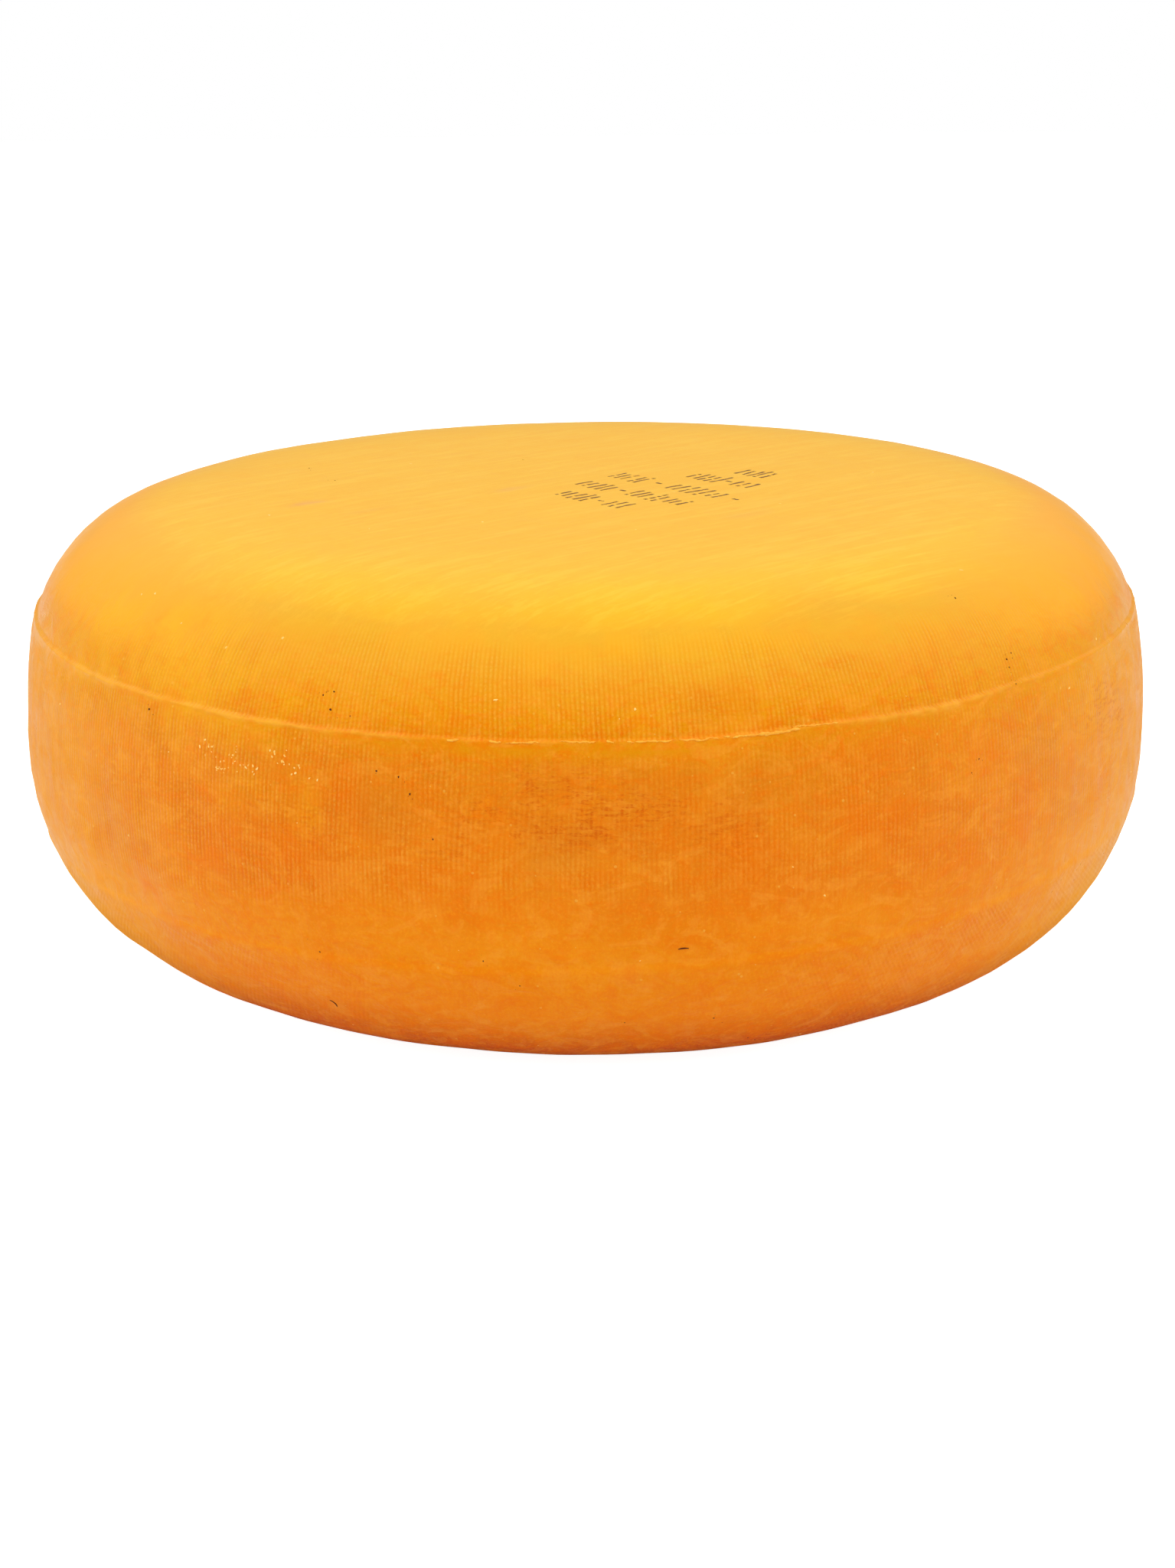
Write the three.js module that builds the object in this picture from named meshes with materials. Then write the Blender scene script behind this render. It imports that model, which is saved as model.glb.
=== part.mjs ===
// A whole pressed cheese wheel in its waxy yellow coat, lying on its base.
// Millimetres, +Z up. The origin is on the ground, under the middle of the wheel.
// Azimuths are degrees about +Z from +X, so the front of the wheel is at -90.

import * as THREE from 'three';

// Body: two half ovals of different fullness, which meet at the widest ring.
const meanRadius = 175;
const upperHeight = 78.0;         // from the widest ring up to the flat top
const lowerHeight = 55.3;         // from the widest ring down, before the base is pressed flat
const baseFlattening = 1.0;       // how much of the lower half the base's own weight has flattened
const upperFullness = 0.215;      // a smaller power stays wide for longer
const upperSquareness = 0.786;    // a smaller power reaches the top sooner
const lowerFullness = 0.206;
const lowerSquareness = 1.156;

// Unevenness of the whole wheel.
const ovalSize = 2.2;             // the wheel is a little wider one way than the other
const ovalAzimuth = 9.6;
const lobeSize = 1.1;             // a slight three-sided form, left by turning it on the shelf
const lobeAzimuth = 45.6;
const baseLean = 1.3;             // the lower half has slumped this far towards +X
const reliefFade = 4;             // relief dies away towards the middle as this power of the radius

// The seam: a thin wavy lip where the press lid met the mould's wall.
const seamHeight = 46.4;          // above the widest ring
const seamWaves = [
  { turns: 1, size: 0.9, azimuth: -35 },
  { turns: 3, size: 0.45, azimuth: -62 },
  { turns: 8, size: 0.18, azimuth: -80 },
  { turns: 13, size: 0.12, azimuth: -51 },
];
const seamReach = 14;             // the waves fade out this far above and below the seam
const lipProud = 0.7;             // how far the lip stands out from the wall below it
const lipFade = 10;               // the wall falls back to its own curve over this height
const ledgeDepth = 0.2;           // how far the shoulder is set back just above the lip
const ledgeWidth = 0.7;           // height of the ledge itself
const shoulderFlat = 0.8;         // the shoulder is flattened by this much, half way up
const shoulderFlatRise = 17;      // above the seam
const shoulderFlatSpread = 8;

// The edge of the bottom liner: a faint step round the wall, slightly tilted.
const linerHeight = -12.3;        // from the widest ring
const linerTilt = 4.5;
const linerTiltAzimuth = -10;     // the side on which the step is highest
const linerStep = 0.5;
const linerSoftness = 2.2;
const linerFade = 10;

// Shallow hollows left by handling.
const hollows = [
  { azimuth: -137, height: -8, across: 16, depth: 1.3 },
  { azimuth: -112, height: 60, across: 19, depth: 0.7 },
  { azimuth: -47, height: 55, across: 22, depth: 0.8 },
  { azimuth: 25, height: 8, across: 26, depth: 1.0 },
  { azimuth: 78, height: 52, across: 24, depth: 0.9 },
  { azimuth: 128, height: -4, across: 20, depth: 1.2 },
  { azimuth: 176, height: 30, across: 24, depth: 0.8 },
];

// Facets.
const azimuthSteps = 120;
const topRings = 16;              // from the middle of the top to the seam
const wallRings = 9;              // from the seam to the liner's edge
const lowerRings = 11;            // from the liner's edge to the base
const firstRingShare = 0.35;      // radius of the innermost ring on the flat top

const radians = Math.PI / 180;

function power(value, exponent) {
  return Math.pow(Math.max(value, 0), exponent);
}

function bell(distance, spread) {
  return Math.exp(-(distance * distance) / (spread * spread));
}

function softStep(value) {
  const clamped = Math.min(Math.max(value, 0), 1);
  return clamped * clamped * (3 - 2 * clamped);
}

// The plain profile. Tilt is 90 at the middle of the top, 0 at the widest ring, -90 below.
function profile(tilt) {
  const across = Math.cos(tilt * radians);
  const up = Math.sin(tilt * radians);
  if (up >= 0) {
    return {
      radius: meanRadius * power(across, upperFullness),
      height: upperHeight * power(up, upperSquareness),
    };
  }
  return {
    radius: meanRadius * power(across, lowerFullness),
    height: -lowerHeight * power(-up, lowerSquareness),
  };
}

// The tilt at which the plain profile passes through a height.
function tiltAtHeight(height) {
  const reach = height >= 0 ? upperHeight : lowerHeight;
  const squareness = height >= 0 ? upperSquareness : lowerSquareness;
  const up = Math.pow(Math.abs(height) / reach, 1 / squareness);
  return Math.sign(height) * Math.asin(up) / radians;
}

// The tilt at which the top passes through a share of the mean radius.
function tiltOnTop(share) {
  return Math.acos(Math.pow(share, 1 / upperFullness)) / radians;
}

function seamWave(azimuth) {
  let wave = 0;
  for (const part of seamWaves) {
    wave += part.size * Math.cos(part.turns * (azimuth - part.azimuth) * radians);
  }
  return wave;
}

function linerEdge(azimuth) {
  return linerHeight + linerTilt * Math.cos((azimuth - linerTiltAzimuth) * radians);
}

// How far the surface stands out from the plain profile at a height and an azimuth.
function relief(height, azimuth) {
  const aboveSeam = height - seamHeight;
  let out = 0;
  if (aboveSeam <= 0) {
    out += lipProud * Math.exp(aboveSeam / lipFade);
  } else {
    const across = softStep(aboveSeam / ledgeWidth);
    out += lipProud * (1 - across) - ledgeDepth * across * Math.exp(-aboveSeam / lipFade);
    out -= shoulderFlat * bell(aboveSeam - shoulderFlatRise, shoulderFlatSpread);
  }
  const belowLiner = Math.max(linerEdge(azimuth) - height, 0);
  out += linerStep * softStep(belowLiner / linerSoftness) * Math.exp(-belowLiner / linerFade);
  for (const hollow of hollows) {
    const turn = Math.atan2(
      Math.sin((azimuth - hollow.azimuth) * radians),
      Math.cos((azimuth - hollow.azimuth) * radians),
    );
    const distance = Math.hypot(turn * meanRadius, height - hollow.height);
    out -= hollow.depth * bell(distance, hollow.across);
  }
  return out;
}

function surfacePoint(tilt, azimuth) {
  const plain = profile(tilt);
  const angle = azimuth * radians;
  const share = plain.radius / meanRadius;
  const oval = ovalSize * Math.cos(2 * (azimuth - ovalAzimuth) * radians);
  const lobes = lobeSize * Math.cos(3 * (azimuth - lobeAzimuth) * radians);
  const standsOut = relief(plain.height, azimuth) * power(share, reliefFade);
  const radius = plain.radius + (oval + lobes) * share + standsOut;
  const sunk = Math.min(plain.height / lowerHeight, 0);
  const lifted = plain.height + seamWave(azimuth) * bell(plain.height - seamHeight, seamReach);
  return new THREE.Vector3(
    radius * Math.cos(angle) + baseLean * sunk * sunk,
    radius * Math.sin(angle),
    Math.max(lifted, baseFlattening - lowerHeight),
  );
}

// Tilts that lie evenly along the profile from one tilt to another, the first one left out.
function evenTilts(from, to, count) {
  const samples = 400;
  const lengths = [0];
  let last = profile(from);
  for (let i = 1; i <= samples; i += 1) {
    const next = profile(from + (to - from) * (i / samples));
    lengths.push(lengths[i - 1] + Math.hypot(next.radius - last.radius, next.height - last.height));
    last = next;
  }
  const tilts = [];
  let sample = 0;
  for (let i = 1; i <= count; i += 1) {
    const wanted = (lengths[samples] * i) / count;
    while (sample < samples && lengths[sample] < wanted) {
      sample += 1;
    }
    tilts.push(from + (to - from) * (sample / samples));
  }
  return tilts;
}

// Every ring's tilt, from the top to the base.
function ringTilts() {
  const innerTop = tiltOnTop(firstRingShare);
  const aboveLedge = tiltAtHeight(seamHeight + ledgeWidth);
  const middleOfLedge = tiltAtHeight(seamHeight + ledgeWidth / 2);
  const seam = tiltAtHeight(seamHeight);
  const liner = tiltAtHeight(linerHeight);
  const base = tiltAtHeight(baseFlattening - lowerHeight);
  return [
    innerTop,
    ...evenTilts(innerTop, aboveLedge, topRings),
    middleOfLedge,
    seam,
    ...evenTilts(seam, liner, wallRings),
    ...evenTilts(liner, base, lowerRings),
  ];
}

function wheelGeometry() {
  const tilts = ringTilts();
  const positions = [0, 0, upperHeight];
  for (const tilt of tilts) {
    for (let step = 0; step < azimuthSteps; step += 1) {
      positions.push(...surfacePoint(tilt, (360 * step) / azimuthSteps).toArray());
    }
  }
  positions.push(baseLean, 0, baseFlattening - lowerHeight);

  const ringStart = (ring) => 1 + ring * azimuthSteps;
  const lastPoint = positions.length / 3 - 1;
  const faces = [];
  for (let step = 0; step < azimuthSteps; step += 1) {
    const next = (step + 1) % azimuthSteps;
    faces.push(0, ringStart(0) + step, ringStart(0) + next);
    for (let ring = 0; ring + 1 < tilts.length; ring += 1) {
      const upper = ringStart(ring);
      const lower = ringStart(ring + 1);
      faces.push(upper + step, lower + step, lower + next);
      faces.push(upper + step, lower + next, upper + next);
    }
    faces.push(ringStart(tilts.length - 1) + next, ringStart(tilts.length - 1) + step, lastPoint);
  }

  const geometry = new THREE.BufferGeometry();
  geometry.setAttribute('position', new THREE.Float32BufferAttribute(positions, 3));
  geometry.setIndex(faces);
  standOnGround(geometry);
  geometry.computeVertexNormals();
  return geometry;
}

// Puts the base on z = 0 and the middle of the outline over the origin.
function standOnGround(geometry) {
  geometry.computeBoundingBox();
  const { min, max } = geometry.boundingBox;
  geometry.translate(-(min.x + max.x) / 2, -(min.y + max.y) / 2, -min.z);
}

const rind = new THREE.MeshStandardMaterial({
  color: 0xf0a02c,
  roughness: 0.48,
  metalness: 0,
});

const wheel = new THREE.Mesh(wheelGeometry(), rind);
wheel.name = 'cheese_wheel';

const part = new THREE.Group();
part.add(wheel);

export default part;
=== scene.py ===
import math

import bpy
import numpy as np
from mathutils import Matrix, Vector
from mathutils.bvhtree import BVHTree


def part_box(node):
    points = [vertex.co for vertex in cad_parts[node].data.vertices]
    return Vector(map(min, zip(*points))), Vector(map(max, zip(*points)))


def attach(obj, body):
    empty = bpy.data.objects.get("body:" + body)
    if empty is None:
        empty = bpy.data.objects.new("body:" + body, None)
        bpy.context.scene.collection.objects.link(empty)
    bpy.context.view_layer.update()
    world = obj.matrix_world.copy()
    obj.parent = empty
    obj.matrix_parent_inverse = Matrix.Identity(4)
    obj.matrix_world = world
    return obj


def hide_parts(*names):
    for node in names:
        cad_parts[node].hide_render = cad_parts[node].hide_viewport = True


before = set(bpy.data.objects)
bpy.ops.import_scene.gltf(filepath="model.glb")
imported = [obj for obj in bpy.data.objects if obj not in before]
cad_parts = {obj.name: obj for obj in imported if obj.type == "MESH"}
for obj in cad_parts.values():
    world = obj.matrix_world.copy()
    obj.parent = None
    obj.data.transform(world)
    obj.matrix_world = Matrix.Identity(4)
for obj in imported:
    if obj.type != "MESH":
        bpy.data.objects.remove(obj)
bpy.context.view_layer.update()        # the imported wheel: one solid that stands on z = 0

mm = 0.001

# Everything about the coated rind. Azimuths are degrees about +Z from +X, so the front is at -90.
# Heights named above or below are from the wheel's widest ring, as on the solid.
rind = {
    "meanRadius": 175 * mm,
    "upperHeight": 78 * mm,
    "lowerHeight": 55.3 * mm,
    "baseFlattening": 1 * mm,
    "upperFullness": 0.215,
    "upperSquareness": 0.786,
    "lowerFullness": 0.206,
    "lowerSquareness": 1.156,
    "ovalSize": 2.2 * mm,
    "ovalAzimuth": 9.6,
    "lobeSize": 1.1 * mm,
    "lobeAzimuth": 45.6,
    "baseLean": 1.3 * mm,
    "reliefFade": 4,
    "seamHeight": 46.4 * mm,
    "seamWaves": [(1, 0.9 * mm, -35), (3, 0.45 * mm, -62), (8, 0.18 * mm, -80), (13, 0.12 * mm, -51)],
    "seamDips": [(-80, 7.5, -1.2 * mm), (-57, 6, -0.5 * mm)],
    "seamReach": 14 * mm,
    "lipProud": 0.7 * mm,
    "lipFade": 10 * mm,
    "ledgeDepth": 0.2 * mm,
    "ledgeWidth": 0.7 * mm,
    "shoulderFlat": 0.8 * mm,
    "shoulderFlatRise": 17 * mm,
    "shoulderFlatSpread": 8 * mm,
    "linerHeight": -12.3 * mm,
    "linerTilt": 4.5 * mm,
    "linerTiltAzimuth": -10,
    "linerStep": 0.5 * mm,
    "linerSoftness": 2.2 * mm,
    "linerFade": 10 * mm,
    # azimuth, height, how far across, how deep
    "hollows": [
        (-137, -8 * mm, 16 * mm, 1.3 * mm),
        (-112, 60 * mm, 19 * mm, 0.7 * mm),
        (-47, 55 * mm, 22 * mm, 0.8 * mm),
        (25, 8 * mm, 26 * mm, 1.0 * mm),
        (78, 52 * mm, 24 * mm, 0.9 * mm),
        (128, -4 * mm, 20 * mm, 1.2 * mm),
        (176, 30 * mm, 24 * mm, 0.8 * mm),
        (-133, -10 * mm, 2.2 * mm, 0.4 * mm),
        (-117.5, 58 * mm, 2 * mm, 0.3 * mm),
        (-115, 62 * mm, 1.8 * mm, 0.25 * mm),
    ],
    # what only this surface has
    "ribs": 840,
    "ribDepth": 0.1 * mm,
    "crossPitch": 1.3 * mm,        # the press cloth's cross threads
    "threadPitch": 1.31 * mm,
    "threadAzimuth": -94,          # the liner's threads run this way under the wheel
    # the bead along the seam: azimuth, middle over the seam, half width, height, in millimetres
    "bead": [
        (-180, 0.2, 0.5, 0.12),
        (-158, 0.3, 0.45, 0.14),
        (-146, 0.3, 0.5, 0.2),
        (-128, 0.2, 0.5, 0.26),
        (-112, 0.0, 0.55, 0.24),
        (-106, 0.0, 0.45, 0.16),
        (-103, 0.0, 0.35, 0.04),
        (-82, 0.0, 0.35, 0.04),
        (-77, -0.1, 0.4, 0.14),
        (-70, 0.0, 0.45, 0.1),
        (-66, -0.2, 0.7, 0.2),
        (-58, -0.2, 0.8, 0.26),
        (-52, 0.0, 0.7, 0.2),
        (-49, 0.2, 0.4, 0.1),
        (-30, 0.2, 0.4, 0.05),
        (10, 0.1, 0.5, 0.2),
        (90, 0.0, 0.5, 0.24),
        (180, 0.2, 0.5, 0.12),
    ],
    "unevenness": 0.16 * mm,
    "topUnevenness": 0.25,         # how much of it the flat top keeps
    "ribColumns": 3,
    "seed": 7,
}


def raised(value, exponent):
    return np.maximum(value, 0) ** exponent


def bell(distance, spread):
    return np.exp(-((distance / spread) ** 2))


def softStep(value):
    value = np.clip(value, 0, 1)
    return value * value * (3 - 2 * value)


def cosOf(degrees):
    return np.cos(np.radians(degrees))


def turnBetween(azimuth, other):
    return np.arctan2(np.sin(np.radians(azimuth - other)), cosOf(azimuth - other))


# Smooth random waves through space, about 1 high, the same on every run.
def ripple(points, wavelength, seed, count=16):
    random = np.random.default_rng(seed)
    total = np.zeros(len(points))
    for _ in range(count):
        direction = random.normal(size=3)
        direction /= np.linalg.norm(direction)
        length = wavelength * random.uniform(0.7, 1.4)
        total += np.cos(points @ direction * (2 * math.pi / length) + random.uniform(0, 2 * math.pi))
    return total / math.sqrt(count / 2)


def plainProfile(tilt):
    across, up = np.cos(tilt), np.sin(tilt)
    above = up >= 0
    fullness = np.where(above, rind["upperFullness"], rind["lowerFullness"])
    radius = rind["meanRadius"] * raised(across, fullness)
    upper = rind["upperHeight"] * raised(up, rind["upperSquareness"])
    lower = -rind["lowerHeight"] * raised(-up, rind["lowerSquareness"])
    return radius, np.where(above, upper, lower)


def tiltAtHeight(height):
    height = np.asarray(height, float)
    reach = np.where(height >= 0, rind["upperHeight"], rind["lowerHeight"])
    squareness = np.where(height >= 0, rind["upperSquareness"], rind["lowerSquareness"])
    return np.sign(height) * np.arcsin((np.abs(height) / reach) ** (1 / squareness))


def tiltOnTop(share):
    return math.acos(share ** (1 / rind["upperFullness"]))


# How far the seam rises and dips round the wheel.
def seamRise(azimuth):
    waves = sum(size * cosOf(turns * (azimuth - start)) for turns, size, start in rind["seamWaves"])
    dips = [depth * bell(np.degrees(turnBetween(azimuth, at)), wide) for at, wide, depth in rind["seamDips"]]
    return waves + sum(dips)


def linerEdge(azimuth):
    return rind["linerHeight"] + rind["linerTilt"] * cosOf(azimuth - rind["linerTiltAzimuth"])


def solidRelief(height, azimuth):
    above = height - rind["seamHeight"]
    step = softStep(above / rind["ledgeWidth"])
    below = rind["lipProud"] * np.exp(np.minimum(above, 0) / rind["lipFade"])
    setBack = rind["ledgeDepth"] * step * np.exp(-np.maximum(above, 0) / rind["lipFade"])
    flat = rind["shoulderFlat"] * bell(above - rind["shoulderFlatRise"], rind["shoulderFlatSpread"])
    out = np.where(above <= 0, below, rind["lipProud"] * (1 - step) - setBack - flat)
    under = np.maximum(linerEdge(azimuth) - height, 0)
    out += rind["linerStep"] * softStep(under / rind["linerSoftness"]) * np.exp(-under / rind["linerFade"])
    for where, middle, across, depth in rind["hollows"]:
        away = np.hypot(turnBetween(azimuth, where) * rind["meanRadius"], height - middle)
        out -= depth * bell(away, across)
    return out


# A point of the wheel about its own axis, with the widest ring at height 0.
def wheelPoint(tilt, azimuth):
    radius, height = plainProfile(tilt)
    share = radius / rind["meanRadius"]
    oval = rind["ovalSize"] * cosOf(2 * (azimuth - rind["ovalAzimuth"]))
    lobes = rind["lobeSize"] * cosOf(3 * (azimuth - rind["lobeAzimuth"]))
    out = radius + (oval + lobes) * share + solidRelief(height, azimuth) * raised(share, rind["reliefFade"])
    sunk = np.minimum(height / rind["lowerHeight"], 0)
    lifted = height + seamRise(azimuth) * bell(height - rind["seamHeight"], rind["seamReach"])
    x = out * cosOf(azimuth) + rind["baseLean"] * sunk * sunk
    y = out * np.sin(np.radians(azimuth))
    return np.stack([x, y, np.maximum(lifted, rind["baseFlattening"] - rind["lowerHeight"])], -1)


# Tilts evenly spaced along the profile, without the first one.
def evenTilts(start, end, count):
    fine = np.linspace(start, end, 2000)
    radius, height = plainProfile(fine)
    length = np.concatenate([[0], np.cumsum(np.hypot(np.diff(radius), np.diff(height)))])
    return list(np.interp(np.linspace(0, length[-1], count + 1)[1:], length, fine))


# How the rings of the mesh lie: columns, tilt, how far a ring follows the liner's edge, share of the base.
def rindRings():
    fine = rind["ribs"] * rind["ribColumns"]
    middle = rind["ribs"]
    coarse = middle // 3
    core = coarse // 5
    radius = rind["meanRadius"]
    seam = rind["seamHeight"]

    # the top, from the middle out
    rings = [(core, tiltOnTop(r * mm / radius), 0, 1) for r in (6, 14, 24, 35)]
    rings += [(coarse, tiltOnTop(r * mm / radius), 0, 1) for r in range(44, 120, 8)]
    rings += [(middle, tiltOnTop(r * mm / radius), 0, 1) for r in (121, 127, 133)]

    # the ribbed shoulder, the seam and the ribbed wall
    shoulderStart = tiltOnTop(0.79)
    overSeam = float(tiltAtHeight(seam + 2.4 * mm))
    rings += [(fine, t, 0, 1) for t in [shoulderStart] + evenTilts(shoulderStart, overSeam, 10)]
    for offset in (1.4, 1.0, 0.7, 0.45, 0.2, -0.05, -0.3, -0.6, -1.0, -1.6, -2.4):
        rings.append((fine, float(tiltAtHeight(seam + offset * mm)), 0, 1))
    wallStart = float(tiltAtHeight(seam - 4.5 * mm))
    wallEnd = float(tiltAtHeight(-0.5 * mm))
    rings += [(fine, t, 0, 1) for t in [wallStart] + evenTilts(wallStart, wallEnd, 7)]

    # the liner's edge, the lower wall and the base
    edgeHeights = (-4, -7, -9.5, -11.2, -12.3, -13.1, -14, -15.2, -17.5)
    edgeFollows = (0.5, 0.8, 1, 1, 1, 1, 1, 1, 0.9)
    for height, follow in zip(edgeHeights, edgeFollows):
        rings.append((middle, float(tiltAtHeight(height * mm)), follow, 1))
    lowStart = float(tiltAtHeight(-22 * mm))
    baseRim = float(tiltAtHeight(rind["baseFlattening"] - rind["lowerHeight"]))
    rings.append((coarse, lowStart, 0.4, 1))
    rings += [(coarse, t, 0, 1) for t in evenTilts(lowStart, baseRim, 15)]
    rings += [(coarse, baseRim, 0, share) for share in (0.92, 0.82, 0.7, 0.58, 0.46)]
    rings += [(core, baseRim, 0, share) for share in (0.34, 0.22, 0.1)]
    return rings


# Faces between an upper and a lower ring, whose column counts are equal or a whole multiple of each other.
def bandFaces(upper, upperCount, lower, lowerCount):
    if upperCount > lowerCount:
        return [face[::-1] for face in bandFaces(lower, lowerCount, upper, upperCount)]
    if upperCount == lowerCount:
        columns = [(i, (i + 1) % upperCount) for i in range(upperCount)]
        return [(upper + i, lower + i, lower + j, upper + j) for i, j in columns]
    faces = []
    ratio = lowerCount // upperCount
    half = (ratio + 1) // 2
    for i in range(upperCount):
        a, b = upper + i, upper + (i + 1) % upperCount
        edge = [lower + (ratio * i + k) % lowerCount for k in range(ratio + 1)]
        faces += [(a, edge[k], edge[k + 1]) for k in range(half)]
        faces.append((a, edge[half], b))
        faces += [(b, edge[k], edge[k + 1]) for k in range(half, ratio)]
    return faces


# The press cloth's ribs: where they start and stop, and how unevenly they are pressed in.
pressCloth = {
    "start": 0.882,                # on the shoulder, as a share of the radius
    "startWave": 0.02,
    "startRagged": 0.012,
    "startFade": 0.045,
    "flankLoss": 0.75,             # how much of them is gone from the shoulder at the two sides
    "smoothBand": 1.0 * mm,        # bare wall under the seam
    "smoothRagged": 0.4 * mm,
    "smoothInFront": 2.2 * mm,     # the band is this much wider in front
    "frontAzimuth": -87,
    "linerGap": 4 * mm,            # bare wall over the liner's edge
    "linerGapInFront": 9.5 * mm,
    "linerFade": 9 * mm,
    "wornAzimuth": -92,            # the front is rubbed half smooth
    "wornShare": 0.5,
    "sharpAzimuth": -122,          # the front left is the sharpest stretch of the wall
    "plainShare": 0.6,             # how strong the rest of the wall is beside it
}


# How strongly the ribs show on the shoulder and down the wall, each rib a little different.
def ribStrength(height, share, azimuth, points):
    seed = rind["seed"]
    front = azimuth + 90
    aside = np.abs(np.degrees(turnBetween(azimuth, -90)))
    flank = softStep((aside - 33) / 25) * (1 - softStep((aside - 120) / 30))
    inner = pressCloth["start"] - pressCloth["startWave"] * cosOf(2 * front)
    inner += pressCloth["startRagged"] * ripple(points, 40 * mm, seed + 1)
    shoulder = softStep((share - inner) / pressCloth["startFade"]) * (1 - pressCloth["flankLoss"] * flank)

    above = height - rind["seamHeight"]
    smoothBand = pressCloth["smoothBand"] + pressCloth["smoothRagged"] * ripple(points, 45 * mm, seed + 2)
    smoothBand += pressCloth["smoothInFront"] * bell(turnBetween(azimuth, pressCloth["frontAzimuth"]), 0.1)
    wallTop = softStep((-above - smoothBand) / (1.5 * mm))
    gap = pressCloth["linerGap"] + pressCloth["linerGapInFront"] * cosOf(front) ** 4
    wallEnd = softStep((height - linerEdge(azimuth) - gap) / pressCloth["linerFade"])

    patchy = np.clip(0.84 + 0.17 * ripple(points, 26 * mm, seed + 3), 0.4, 1.1)
    worn = np.clip(0.85 + 0.25 * ripple(points, 13 * mm, seed + 15), 0.35, 1.15)
    rubbed = bell(turnBetween(azimuth, pressCloth["wornAzimuth"]), 0.16) * bell(above + 15 * mm, 15 * mm)
    worn *= 1 - pressCloth["wornShare"] * rubbed
    sharp = bell(turnBetween(azimuth, pressCloth["sharpAzimuth"]), 0.45)
    worn *= pressCloth["plainShare"] + (1 - pressCloth["plainShare"]) * sharp
    lanes = np.stack([np.radians(azimuth) * rind["ribs"] * 0.16 * mm, 0 * height, height * 0.12], -1)
    single = np.clip(1 + 0.16 * ripple(lanes, 2.2 * mm, seed + 12), 0.3, 1.6)
    return np.where(above > 0, shoulder * patchy, wallTop * wallEnd * worn) * single


# How far the ribs sway from upright, in radians of one rib's pitch.
def ribSway(points):
    return 2.0 * ripple(points, 60 * mm, rind["seed"] + 13) + 0.4 * ripple(points, 8 * mm, rind["seed"] + 14)


# The liner's straight threads, folded up over the lower shoulder.
def threadsOf(tilt, share, azimuth, height, points):
    fine = np.linspace(-math.pi / 2, 0, 3000)
    radius, level = plainProfile(fine)
    length = radius[0] + np.concatenate([[0], np.cumsum(np.hypot(np.diff(radius), np.diff(level)))])
    fromMiddle = np.interp(tilt, fine, length) * share
    across = fromMiddle * np.sin(np.radians(azimuth - rind["threadAzimuth"])) / rind["threadPitch"]
    under = linerEdge(azimuth) - height
    sides = 0.35 + 0.65 * softStep((np.abs(np.degrees(turnBetween(azimuth, -90))) - 12) / 20)
    patchy = np.clip(0.75 + 0.25 * ripple(points, 30 * mm, rind["seed"] + 4), 0.2, 1.1)
    return across, softStep((under - 1 * mm) / (4 * mm)) * sides * patchy


# The bead that the lid squeezed out along the seam.
def lipOf(above, azimuth, points):
    turned = (azimuth + 180) % 360 - 180
    where, middle, wide, tall = np.array(rind["bead"]).T
    offset = np.interp(turned, where, middle) + 0.12 * ripple(points, 5 * mm, rind["seed"] + 11)
    width = np.interp(turned, where, wide) * (1 + 0.2 * ripple(points, 9 * mm, rind["seed"] + 5))
    lumps = np.clip(0.9 + 0.25 * ripple(points, 4 * mm, rind["seed"] + 6), 0.3, 1.4)
    bead = bell(above - offset * mm, np.maximum(width, 0.25) * mm)
    return bead * np.interp(turned, where, tall) * mm * lumps


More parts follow.
